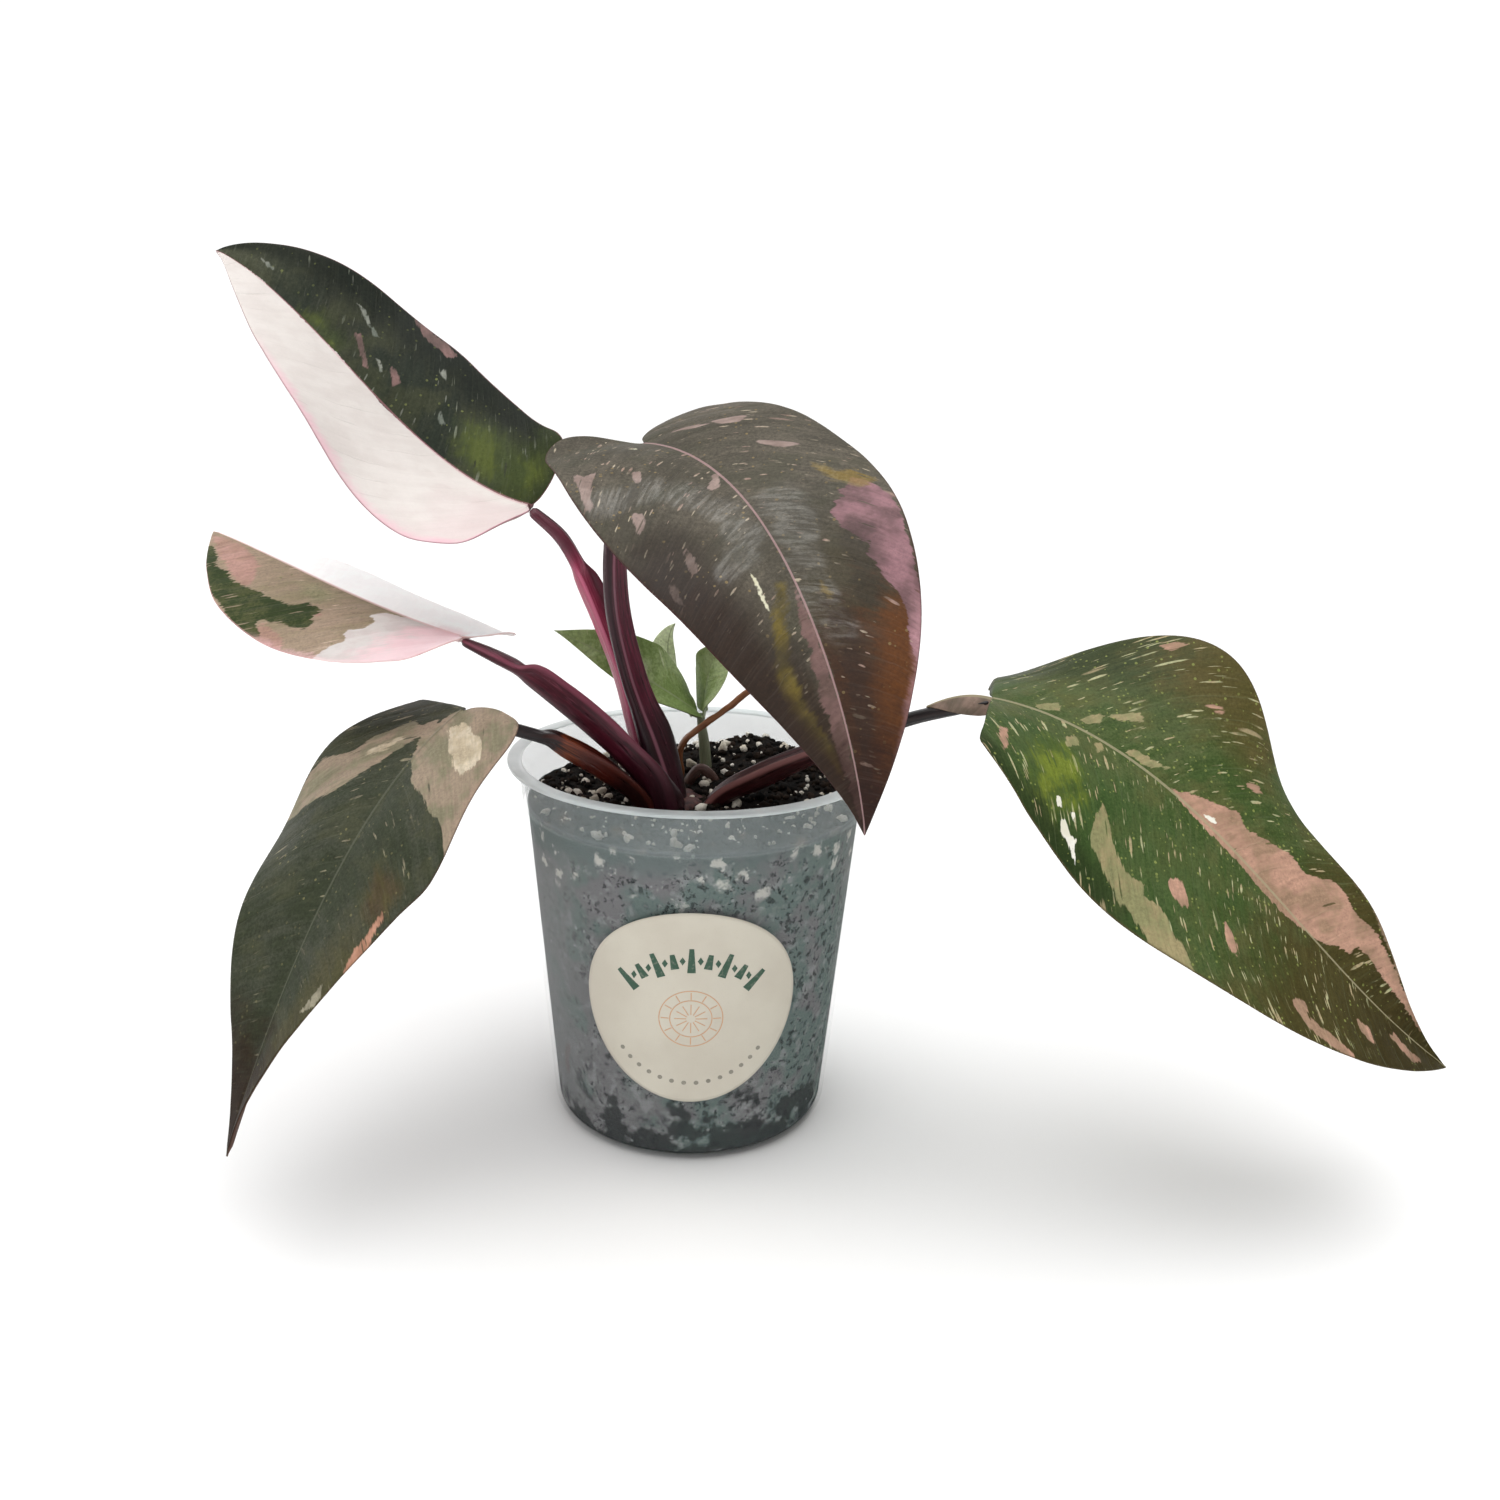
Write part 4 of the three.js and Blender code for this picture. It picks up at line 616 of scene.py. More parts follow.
def blade_mesh(leaf, seed, patches=(), rows=170, columns=30):
    """A closed blade with rounded margins, a midrib and low relief, and the attributes its material reads."""
    leaf["spine"] = spine_of(leaf)
    length = leaf["length"]
    margins = {side: margin_of(leaf[key], length, rows + 1) for side, key in ((1, "left"), (-1, "right"))}
    starts = np.maximum(0, sum(line[:, 0] - 0.5 * line[:, 1] for line in margins.values()) / 2)
    inner = np.concatenate([[0.012, 0.026, 0.045, 0.07], np.linspace(0.1, 0.97, columns), [0.985, 0.995]])
    shares = np.concatenate([[-1], -inner[::-1], [0], inner, [1]])
    c, u = np.meshgrid(shares, np.linspace(0, 1, rows + 1))
    x, y = flat_place(margins, starts, u, c)
    side = np.where(c >= 0, 1, -1)
    width = np.where(side > 0, leaf["left"].width, leaf["right"].width)

    def surface(x, y):
        on_left, on_right = (blade_point(leaf, way, x, np.maximum(way * y, 0)) for way in (1, -1))
        return np.where((y >= 0)[..., None], on_left, on_right)

    along_x = surface(x + 0.5, y) - surface(x - 0.5, y)
    along_y = surface(x, np.where(side > 0, y + 0.5, y)) - surface(x, np.where(side > 0, y, y - 0.5))
    up = unit(np.cross(along_x, along_y))
    middle = shares == 0
    up[:, middle] = unit(up[:, np.roll(middle, -1)] + up[:, np.roll(middle, 1)])

    # The side veins leave the midrib at a slant, sweep forward, and fade out at the midrib and the margin.
    share, slant, sweep = np.abs(c), 0.35, 0.5
    vein = x - slant * np.abs(y) - sweep * y**2 / width
    fade = np.clip(np.abs(y) / 5, 0, 1) * np.clip((1 - share) / 0.25, 0, 1)
    groove = np.exp(-((np.mod(vein / VEIN_STEP + 0.5, 1) - 0.5) ** 2) / 0.018)
    place = np.stack([x, y, 0 * x], -1)
    uneven = 0.45 * soft_noise(place, 22, seed) + 0.16 * soft_noise(place, 8, seed + 1)
    uneven = uneven * np.clip(share * 5, 0, 1) * min(1, length / 100)
    for *dent, depth in leaf.get("dents", []):
        uneven = uneven - depth * hump(x, y, *dent)
    centre = surface(x, y) + up * (uneven - leaf.get("veins", 0.22) * groove * fade)[..., None]

    edge = 0.04
    rounding = np.sqrt(np.clip(1 - (np.maximum(share - (1 - edge), 0) / edge) ** 2, 0, 1))
    half_thick = leaf.get("thickness", 0.8) / 2 * rounding * (1 - 0.25 * share)
    end = np.clip(np.minimum(u, 1 - u) * 60, 0.4, 1)
    taper = 1 - 0.75 * np.clip(x / length, 0, 1)
    rib = leaf.get("ridge", 1.5) * taper * np.exp(-((y / (0.035 * width)) ** 2))
    crest = 0.16 * rib * np.exp(-((y / 0.6) ** 2)) * end
    top = centre + up * (half_thick * end + crest)[..., None]
    bottom = centre - up * ((half_thick + rib) * end)[..., None]
    loop = np.concatenate([top, bottom[:, -2:0:-1]], axis=1)

    def ring(values):
        return np.concatenate([values, values[:, -2:0:-1]], axis=1).reshape(-1)

    under = np.zeros(loop.shape[:2])
    under[:, len(shares):] = 1
    shine = 0 * x
    for spot in leaf.get("shine", []):
        shine = np.maximum(shine, hump(x, y, *spot))
    # Shadow spots take the value below zero, where the material paints shade.
    shine = shine - sum(hump(x, y, *spot) for spot in leaf.get("shadow", []))
    attributes = {
        "vein": np.stack([ring(vein), ring(np.abs(y)), ring(side * 40.0)], -1),
        "leaf": np.stack([ring(np.clip(x / length, 0, 1)), ring(c), under.reshape(-1)], -1),
        "shine": ring(shine),
    }
    for name, *_, text in patches:
        distance = np.full(x.shape, -50.0)
        for outline in outlines_of(text):
            flat = np.stack(flat_place(margins, starts, *outline.T), -1)
            distance = np.maximum(distance, inside_distance(x, y, flat))
        attributes["patch_" + name] = ring(distance)
    return loop.reshape(-1, 3), loop_faces(rows + 1, loop.shape[1]), attributes


# Stalk geometry


def stalk_mesh(stalk, seed, ribs, knobs=0, rings=120, sides=48):
    """A closed stalk along its stations, with fine lengthwise ribs or knobs."""
    line = smooth_line(stalk["stations"], rings, 3)
    centre, (width, depth, wing, hollow) = line[:, :3], line[:, 3:, None].transpose(1, 0, 2)
    along = unit(np.gradient(centre, axis=0))
    across = unit(np.cross(along, np.array(stalk["face"], float)))
    outward = np.cross(across, along)
    turn = full_turn(sides)[None, :]
    cosine, sine = np.cos(turn), np.sin(turn)
    run = np.linspace(0, 1, rings)[:, None]
    length = run_along(centre)[:, None]
    taper = np.sqrt(np.clip(1 - (np.maximum(run - 0.985, 0) / 0.016) ** 2, 0.2, 1))
    flow = np.stack([cosine + 0 * run, sine + 0 * run, length / 30 + 0 * sine], -1)
    detail = ribs * soft_noise(flow * [1, 1, 0.35], 0.22, seed)
    detail = detail + knobs * soft_noise(flow * [1, 1, 9], 0.9, seed)
    sideways = (width / 2 * taper + detail) * cosine
    sunk = np.where(sine > 0, hollow * sine**2, 0)
    raised = (depth / 2 * taper + detail) * sine + wing * cosine**2 - sunk
    points = centre[:, None] + across[:, None] * sideways[..., None] + outward[:, None] * raised[..., None]
    attributes = {
        "stalk": np.stack([cosine + 0 * run, sine + 0 * run, run + 0 * sine], -1).reshape(-1, 3),
        "run": (length + 0 * sine).reshape(-1),
    }
    faces = [tuple(reversed(face)) for face in loop_faces(rings, sides)]
    return points.reshape(-1, 3), faces, attributes


# Materials


def linear(colour):
    """A linear colour from screen values of 0 to 255."""
    return (*(v / 255 / 12.92 if v < 10 else ((v / 255 + 0.055) / 1.055) ** 2.4 for v in colour), 1)


class Value:
    """What a node puts out. Sums and products with it become nodes too."""

    def __init__(self, nodes, socket):
        self.nodes, self.socket = nodes, socket

    def __add__(self, other):
        return self.nodes.math("ADD", self, other)

    def __sub__(self, other):
        return self.nodes.math("SUBTRACT", self, other)

    def __rsub__(self, other):
        return self.nodes.math("SUBTRACT", other, self)

    def __mul__(self, other):
        return self.nodes.math("MULTIPLY", self, other)

    def __truediv__(self, other):
        return self.nodes.math("DIVIDE", self, other)

    def __abs__(self):
        return self.nodes.math("ABSOLUTE", self)

    __radd__, __rmul__ = __add__, __mul__


class Nodes:
    """Short names for the nodes of one tree."""

    def __init__(self, tree):
        self.tree = tree

    def feed(self, socket, value):
        if isinstance(value, Value):
            self.tree.links.new(value.socket, socket)
        else:
            socket.default_value = value

    def node(self, kind, inputs=(), output=0, **settings):
        """What a new node puts out. Its inputs are given in turn, or by number or name."""
        node = self.tree.nodes.new(kind)
        for key, value in settings.items():
            setattr(node, key, value)
        for key, value in inputs.items() if isinstance(inputs, dict) else enumerate(inputs):
            self.feed(node.inputs[key], value)
        return Value(self, node.outputs[output])

    def math(self, operation, *values, clamp=False):
        return self.node("ShaderNodeMath", values, operation=operation, use_clamp=clamp)

    def step(self, value, low, high):
        """0 below low and 1 above high, or the other way round where low is the larger."""
        return self.node("ShaderNodeMapRange", (value, low, high, 0, 1), interpolation_type="SMOOTHSTEP")

    def mix(self, share, a, b, kind="MIX"):
        a, b = (linear(colour) if isinstance(colour, tuple) else colour for colour in (a, b))
        return self.node("ShaderNodeMix", {0: share, 6: a, 7: b}, 2, data_type="RGBA", blend_type=kind)

    def attribute(self, name, output="Fac"):
        return self.node("ShaderNodeAttribute", output=output, attribute_name=name)

    def parts(self, vector):
        first = self.node("ShaderNodeSeparateXYZ", [vector])
        return [Value(self, socket) for socket in first.socket.node.outputs]

    def joined(self, x, y, z):
        return self.node("ShaderNodeCombineXYZ", (x, y, z))

    def place(self):
        """The point on the object, in millimetres."""
        inputs = {0: self.node("ShaderNodeTexCoord", output="Object"), "Scale": 1 / MM}
        return self.node("ShaderNodeVectorMath", inputs, operation="SCALE")

    def moved(self, place, shift):
        return self.node("ShaderNodeVectorMath", (place, shift), operation="ADD")

    def noise(self, place, size, detail=3, rough=0.55):
        inputs = {"Vector": place, "Scale": 1 / size, "Detail": detail, "Roughness": rough}
        return self.node("ShaderNodeTexNoise", inputs, "Fac")

    def cells(self, place, size):
        """How far the place is from the middle of its cell, and a random number of the cell."""
        distance = self.node("ShaderNodeTexVoronoi", {"Vector": place, "Scale": 1 / size}, "Distance")
        return distance, self.parts(Value(self, distance.socket.node.outputs["Color"]))[0]

    def torn(self, place, size, amount):
        """The place pushed about by noise, for ragged outlines."""
        shifts = [self.noise(self.moved(place, (k, 0, 0)), size) * amount for k in (0, 30, 60)]
        return self.moved(place, self.joined(*shifts))

    def specks(self, place, size, share, largest):
        """Spots in the given share of the cells, each of its own size."""
        distance, chance = self.cells(place, size)
        return self.math("MULTIPLY", (chance - (1 - share)) * (largest / share) - distance, 12, clamp=True)

    def blobs(self, place):
        """Blurred lumps of perlite, as they show through the wall of the pot."""
        distance, chance = self.cells(self.torn(place, 2.5, 6), 6)
        return self.step(chance * 0.46 - distance, -0.08, 0.16) * 0.85

    def clouds(self, colour, tint, low, high, size, detail=3, rough=0.55):
        """The colour with clouds of a tint where the noise is high."""
        return self.mix(self.step(self.noise(self.place(), size, detail, rough), low, high), colour, tint)


class Shade(Nodes):
    """The nodes of one new material."""

    def __init__(self, name, gloss, alpha=1):
        self.material = bpy.data.materials.new(name)
        self.material.use_nodes = True
        super().__init__(self.material.node_tree)
        self.shader = self.tree.nodes["Principled BSDF"].inputs
        self.shader["Specular IOR Level"].default_value = gloss
        self.shader["Alpha"].default_value = alpha

    def bump(self, height, depth, strength=1):
        inputs = {"Strength": strength, "Distance": depth * MM, "Height": height}
        self.feed(self.shader["Normal"], self.node("ShaderNodeBump", inputs))

    def paint(self, colour, roughness):
        self.feed(self.shader["Base Color"], colour)
        self.feed(self.shader["Roughness"], roughness)
        return self.material


def region(s, limits, shift=0, **values):
    """A share that is 1 where each value that has limits, moved by the shift, lies within them."""
    total = 1
    for key, value in values.items():
        if key in limits:
            start, rise, *ends = limits[key]
            total = total * s.step(value + shift, start, rise)
            if ends:
                fall, end = ends
                total = total * s.step(value + shift, end, fall)
    return total


def leaf_material(name, look):
    """A mottled blade: body, zones, dots, dashes and blotches along the veins, patches, painted shade and a
    painted sheen at the shadow and shine spots, veins and midrib.
    """
    s = Shade(name, look.get("gloss", 0.08))
    v, away, side = s.parts(s.attribute("vein", "Vector"))
    along, across, under = s.parts(s.attribute("leaf", "Vector"))
    place = s.place()

    def drawn_out(vein, stretch, drop=0):
        """A place for noise and specks that are stretched along the veins."""
        return s.joined(vein, away * stretch, side + drop)

    jag = s.noise(drawn_out(v, 0.25), 1.3, 3, 0.65) - 0.5
    wide = s.noise(place, 8) - 0.5
    wavy = v + jag * 1.5
    streak = drawn_out(wavy, 0.22)
    grain = s.noise(place, 0.9, 4, 0.65)
    medium = s.noise(streak, 4.5)
    strands = s.noise(streak, 1.6, 3, 0.6)
    ragged = wide * 0.5 + jag * 0.3

    def tinted(colour, zones):
        for tint, strength, limits in zones:
            shift = ragged * (0.35 * limits.get("rough", 1))
            colour = s.mix(region(s, limits, shift, along=along, across=across) * strength, colour, tint)
        return colour

    light, dark, third = look["body"]
    blend = s.noise(place, 26) + (medium * 0.5 + grain * 0.4)
    colour = s.mix(s.step(blend, 0.78, 1.12), light, dark)
    colour = s.mix(s.step(s.noise(place, 13, 4) + jag * 0.15, 0.47, 0.64) * 0.6, colour, third)
    colour = tinted(colour, look.get("zones", []))

    crowd = s.noise(place, 11) + (look.get("crowd", 0) - s.step(along, 0.5, 0.9) * 0.1)
    crowd = s.step(crowd, 0.42, 0.58)
    dots = s.specks(place, 1.5, look["dots"], 0.36)
    colour = s.mix(dots * (0.25 + crowd * 0.5), colour, look["dot"])
    fleck = s.mix(s.step(s.noise(place, 5, 2), 0.4, 0.6), look["fleck"], look["blotch"])
    for size, drop in ((1.8, 3), (1.05, 14)):
        dashes = s.specks(drawn_out(wavy, look.get("dash", 0.22), drop), size, look["dashes"], 0.4)
        colour = s.mix(dashes * (0.12 + crowd * 0.78), colour, fleck)
    blotches = s.specks(drawn_out(wavy, 0.35, 9), 4.6, look["blotches"], 0.34)
    colour = s.mix(blotches * 0.8, colour, look["blotch"])

    calm = 0.0
    for patch, tint, other, rough, soft, strength, worn, _ in look.get("patches", []):
        edge = s.attribute("patch_" + patch) + (jag * rough + wide * (0.7 * rough))
        inside = s.step(edge, -soft, soft)
        cloud = s.noise(s.moved(place, (40, 0, 0)), 9) + (medium - 0.5) * 0.4
        shade = s.mix(s.step(cloud + (grain - 0.5) * 0.4, 0.4, 0.6), tint, other)
        if worn:
            holes = s.specks(drawn_out(wavy, 0.2, 5), 1.6, worn, 0.4)
            inside = inside * (1 - holes * 0.75)
        colour = s.mix(inside * strength, colour, shade)
        if patch in ("white", "bright"):
            calm = s.math("MAXIMUM", calm, inside)
    if look.get("thin"):
        s.feed(s.shader["Subsurface Weight"], calm)
        s.shader["Subsurface Radius"].default_value = (1, 0.92, 0.9)
        s.shader["Subsurface Scale"].default_value = 4 * MM
    colour = tinted(colour, look.get("over", []))

    shine_and_shade = s.attribute("shine") + (wide * 0.5 + jag * 0.4)
    shine = s.step(shine_and_shade, 0.25, 0.75)
    # Painted shade: a dark brown where the shadow spots take the value below zero, in the hollows of the
    # blade.
    colour = s.mix(s.step(shine_and_shade, -0.2, -0.8) * 0.5, colour, (44, 36, 28))
    # Painted highlight: a pale grey sheen in streaks over the shine spots, which also lower the roughness
    # below.
    colour = s.mix(shine * s.step(strands, 0.42, 0.66) * 0.17, colour, (158, 155, 148))
    uneven = (grain - 0.5) + (strands - 0.5) * 0.7
    colour = s.mix(1 - calm * 0.88, colour, 1 + uneven, "MULTIPLY")

    threads = s.noise(drawn_out(v, 0.06), 0.6)
    lines = s.math("PINGPONG", (v + wide * 3) * (1 / VEIN_STEP), 0.5)
    line = s.step(lines, 0.05, 0) * s.step(s.noise(place, 15, 2), 0.4, 0.6)
    colour = s.mix(line * look["line"], colour, look["vein"])
    colour = s.mix(s.step(threads, 0.5, 0.75) * (0.07 - calm * 0.06), colour, look["vein"])
    width = (1.1 - along * 0.7) * look.get("rib_width", 0.8)
    rib = s.step((away + jag * 0.2) / width, 1.15, 0.7)
    colour = s.mix(rib * look.get("rib_share", 0.7), colour, look["rib"])
    colour = s.mix(s.step(abs(across), 0.984, 0.998) * 0.7, colour, look["rim"])
    colour = s.mix(under, colour, s.mix(0.5, colour, look["under"]))
    s.bump(threads * 0.6 + (grain - line * 0.8), 0.1, look.get("bump", 0.8))
    rough = look.get("rough", 0.5) + (medium - 0.5) * 0.2 - shine * 0.2
    return s.paint(colour, rough - shine * s.step(strands, 0.44, 0.58) * 0.24)


def stalk_material(name, look):
    """A streaked stalk with zones of its own, and paler edges that paint the highlight lines along both
    sides.
    """
    s = Shade(name, 0.35)
    cosine, sine, run = s.parts(s.attribute("stalk", "Vector"))
    streak = s.joined(cosine * 9, sine * 9, s.attribute("run") * 0.12)
    fine = s.noise(streak, 1.5, 4, 0.6)
    colour = s.mix(s.step(fine, 0.3, 0.72), *look["body"])
    colour = s.mix(s.step(s.noise(streak, 0.8, 2), 0.56, 0.7) * 0.3, colour, look["ridge"])
    # Painted highlight: a pale edge colour along both sides of the stalk.
    colour = s.mix(s.step(abs(cosine), 0.93, 0.995) * look.get("edge_share", 0.6), colour, look["edge"])
    for tint, strength, limits in look.get("zones", []):
        share = region(s, limits, across=cosine, groove=sine, run=run, fine=fine)
        colour = s.mix(share * strength, colour, tint)
    colour = s.mix(s.specks(s.place(), 1.5, 0.2, 0.25) * 0.2, colour, look["ridge"])
    s.bump(fine + s.noise(s.place(), 0.7) * 0.3, 0.22, 0.8)
    return s.paint(colour, 0.32 + (fine - 0.5) * 0.3)


# Leaves and stalks


def leaf_pieces():
    for index, (name, leaf) in enumerate(LEAVES.items()):
        look = LOOKS[name]
        points, faces, attributes = blade_mesh(leaf, index, look["patches"])
        if name == "leaf_right":
            lobe_points, lobe_faces, lobe_attributes = blade_mesh(FOLDED_LOBE, 9, rows=50, columns=12)
            for key in attributes:
                plain = np.full(len(lobe_points), 3.0 if key == "patch_lobe" else -50.0)
                attributes[key] = np.concatenate([attributes[key], lobe_attributes.get(key, plain)])
            faces = faces + [tuple(k + len(points) for k in face) for face in lobe_faces]
            points = np.concatenate([points, lobe_points])
        material = leaf_material(name, look)
        make_piece("fine_" + name, points, faces, [material], name, look["slot"], attributes)


def shoot_leaf_pieces():
    materials = {name: leaf_material(name, SHOOT_LOOK | tones) for name, tones in SHOOT_TONES.items()}
    for index, (name, leaf) in enumerate(SHOOT_LEAVES.items()):
        leaf.update(thickness=0.6, ridge=0.5, veins=0.08)
        points, faces, attributes = blade_mesh(leaf, 20 + index, rows=80, columns=14)
        material = materials["shoot_leaf_pale" if name == "shoot_leaf_back" else "shoot_leaf"]
        make_piece("fine_" + name, points, faces, [material], name, "shoot_leaf", attributes)


def stalk_pieces():
    for index, (name, stalk) in enumerate(STALKS.items()):
        points, faces, attributes = stalk_mesh(stalk, 40 + index, 0.16)
        make_piece("fine_" + name, points, faces, [stalk_material(name, stalk)], name, "stalk", attributes)


def thin_stem_pieces():
    for index, (name, stem) in enumerate(THIN_STEMS.items()):
        knobs, slot_name = (0.05, "shoot_stem") if name == "shoot_stem" else (0.28, "root")
        points, faces, attributes = stalk_mesh(stem, 60 + index, 0.05, knobs, 110, 24)
        make_piece("fine_" + name, points, faces, [stalk_material(name, stem)], name, slot_name, attributes)


def crown_piece():
    (cx, cy), radius, top, bottom = CROWN["centre"], CROWN["radius"], CROWN["top"], CROWN["bottom"]
    profile = [(0, bottom), (0.4 * radius, bottom), (0.7 * radius, bottom + 15), (0.95 * radius, bottom + 37)]
    profile += [(radius * (1 - 0.02 * k), top - 8 + 1.2 * k) for k in range(6)]
    profile += [(0.84 * radius, top - 0.6), (0.6 * radius, top), (0.3 * radius, top + 0.2), (0, top + 0.2)]
    points, faces = lathe(profile, 64)
    rough = 0.7 * soft_noise(points, 5, 3) + 0.35 * soft_noise(points, 1.8, 4)
    outward = unit(points - [0, 0, (top + bottom) / 2])
    points = points + outward * rough[:, None] + [cx, cy, 0]
    s = Shade("crown", 0.35)
    colour = s.clouds((46, 24, 24), (86, 50, 46), 0.35, 0.65, 3, 5, 0.6)
    colour = s.clouds(colour, (122, 92, 78), 0.6, 0.7, 1.2)
    s.bump(s.noise(s.place(), 1.4, 5, 0.65), 0.5)
    make_piece("fine_crown", points, faces, [s.paint(colour, 0.6)], "crown", "crown")


# Potting mix


def wall_radius(z):
    share = (z - POT["fillet"]) / (POT["height"] - POT["rim_thickness"] - POT["fillet"])
    return POT["bottom_radius"] + (POT["top_radius"] - POT["bottom_radius"]) * share


def inner_radius(z):
    return wall_radius(z) - POT["wall"] - MIX["gap"]


def pot_outline(inset, top):
    """The wall's outline from the axis up to the given height, moved inwards by the inset."""
    fillet, bottom = POT["fillet"], POT["bottom_radius"]
    reach = fillet - inset
    corner = [
        (bottom - fillet + reach * math.sin(turn), fillet - reach * math.cos(turn))
        for turn in np.linspace(0, np.pi / 2, 10)
    ]
    return [(0, inset), *corner, *((wall_radius(z) - inset, z) for z in np.linspace(fillet + 10, top, 24))]


def mix_height(x, y):
    """The height of the mix, mounded and crumbled, at a place."""
    away = np.hypot(x - MIX["centre"][0], y - MIX["centre"][1]) / MIX["spread"]
    edge = np.clip((inner_radius(MIX["level"]) - np.hypot(x, y)) / 6, 0, 1)
    place = np.stack([x, y, 0 * x], -1)
    crumbs = 0.9 * soft_noise(place, 7, 5) + 0.7 * soft_noise(place, 3, 6) + 0.4 * soft_noise(place, 1.3, 7)
    return MIX["level"] + MIX["mound"] * np.exp(-(away**2) / 2) * edge + crumbs * (0.4 + 0.6 * edge)


def lumps(count, fineness, rough, seed):
    """Base lumps: a round ball of the given fineness, roughened in several ways."""
    ball = bmesh.new()
    bmesh.ops.create_icosphere(ball, subdivisions=fineness, radius=1)
    points = np.array([v.co[:] for v in ball.verts])
    faces = np.array([[v.index for v in f.verts] for f in ball.faces])
    ball.free()
    shapes = []
    for k in range(seed, seed + count):
        swell = soft_noise(points, 0.9, k) + 0.5 * soft_noise(points, 0.4, k + 50)
        shapes.append(points * (1 + rough * swell)[:, None])
    return shapes, faces


def scattered(shapes, faces, places, sizes, stretch, rng):
    """Copies of the shapes, turned at random, in one mesh."""
    all_points, all_faces = [], []
    for index, (place, size) in enumerate(zip(places, sizes)):
        shape = shapes[rng.integers(len(shapes))] * size * (1 + stretch * rng.uniform(-1, 1, 3))
        turn, _ = np.linalg.qr(rng.normal(size=(3, 3)))
        if np.linalg.det(turn) < 0:
            turn[:, 0] *= -1
        all_points.append(shape @ turn.T + place)
        all_faces.append(faces + index * len(shape))
    return np.concatenate(all_points), np.concatenate(all_faces).tolist()


def random_places(count, rng, reach, clear=0):
    radius = reach * np.sqrt(rng.uniform(0, 1, count))
    turn = rng.uniform(0, 2 * np.pi, count)
    x, y = radius * np.cos(turn), radius * np.sin(turn)
    return np.stack([x, y, mix_height(x, y) + clear], -1)


def mix_material():
    """Dark crumbs on top, and round the side what shows through the wall of the pot, with a painted
    reflection of the wall at the sides.
    """
    s = Shade("potting_mix", 0.12)
    place = s.place()
    x, y, z = s.parts(place)
    grain = s.noise(place, 2.2, 6, 0.7)
    colour = s.mix(s.step(grain, 0.35, 0.7), (8, 7, 6), (28, 22, 17))
    colour = s.clouds(colour, (80, 68, 56), 0.66, 0.74, 1.1)

    # Grey-green body with dark crumbs and roots
    tone = s.step(s.noise(place, 14) + x * 0.0015, 0.43, 0.57)
    seen = s.mix(tone, (122, 120, 122), (104, 119, 115))
    seen = s.mix(s.step(s.noise(place, 4.5), 0.53, 0.66) * 0.7, seen, (150, 152, 151))
    torn = s.torn(place, 1.6, 4)
    cluster = s.step(s.noise(place, 8) + x * 0.0015, 0.34, 0.53)
    for size, drop, share in ((2.6, 0, 0.8), (1.5, 20, 0.7)):
        spots = s.specks(s.moved(torn, (drop, 0, 0)), size, share, 0.56)
        seen = s.mix(spots * (0.15 + cluster * 0.6), seen, (20, 26, 26))
    low = s.step(z + (s.noise(place, 9, 4) - 0.5) * 110, 18, 7)
    seen = s.mix(low * 0.85, seen, (12, 14, 15))
    root = s.step(abs(x + 38 + s.noise(place, 12, 2) * 4), 1.3, 0.5)
    seen = s.mix(root * region(s, dict(z=(18, 21, 30, 34)), z=z) * 0.7, seen, (110, 62, 70))

    # A painted reflection of the lit wall at the left and right of the front, haze at the top, white lumps,
    # and a dark line under the rim
    # Painted reflection: a lighter grey at both sides of the front, standing for the light that the wall
    # reflects there.
    shift = x + (s.noise(place, 16, 2) - 0.5) * 14
    haze = (s.step(shift, -26, -46) + s.step(shift, 44, 51)) * (s.step(z, 4, 16) * s.step(y, 26, 8))
    seen = s.mix(haze * 0.75, seen, (136, 138, 138))
    rise = z - x * 0.08 + (s.noise(place, 12) - 0.5) * 14
    seen = s.mix(s.step(rise, 99, 107) * 0.88, seen, (108, 119, 118))
    seen = s.mix(s.blobs(place) * s.step(z, 86, 95), seen, (214, 212, 204))
    seen = s.mix(s.step(z, POT["band_start"], POT["band_start"] + 1.1) * 0.8, seen, (60, 67, 66))
    seen = s.mix(s.specks(place, 3, 0.3, 0.26) * 0.4, seen, (190, 192, 190))

    radius = s.math("POWER", x * x + y * y, 0.5)
    slope = (inner_radius(100) - inner_radius(0)) / 100
    on_side = s.math("GREATER_THAN", radius, z * slope + (inner_radius(0) - 0.5))
    s.bump(grain, 0.9)
    return s.paint(s.mix(on_side, colour, seen), 0.85)


def mix_piece():
    level = MIX["level"]
    rim = inner_radius(level)
    rings, segments = 80, 200
    outline = pot_outline(POT["wall"] + MIX["gap"], level - 1)
    tops = [(rim * (1 - k / rings), level) for k in range(rings)]
    points, faces = lathe(outline + tops + [(0, level)], segments)
    on_top = points[:, 2] > level - 0.01
    points[on_top, 2] = mix_height(points[on_top, 0], points[on_top, 1])
    make_piece("fine_potting_mix", points, faces, [mix_material()], "potting_mix", "potting_mix")


def crumbs_piece(rng):
    count = MIX["crumbs"]
    shapes, ball = lumps(12, fineness=1, rough=0.5, seed=100)
    places = random_places(count, rng, inner_radius(MIX["level"]) - 1.5)
    sizes = rng.uniform(0.5, 1.7, count)
    points, faces = scattered(shapes, ball, places, sizes, 0.35, rng)
    s = Shade("crumbs", 0.12)
    colour = s.clouds((9, 8, 7), (36, 26, 19), 0.4, 0.65, 5)
    colour = s.clouds(colour, (66, 52, 40), 0.62, 0.75, 1)
    s.bump(s.noise(s.place(), 0.7, 4), 0.3)
    make_piece("crumbs", points, faces, [s.paint(colour, 0.85)], None, "potting_mix")


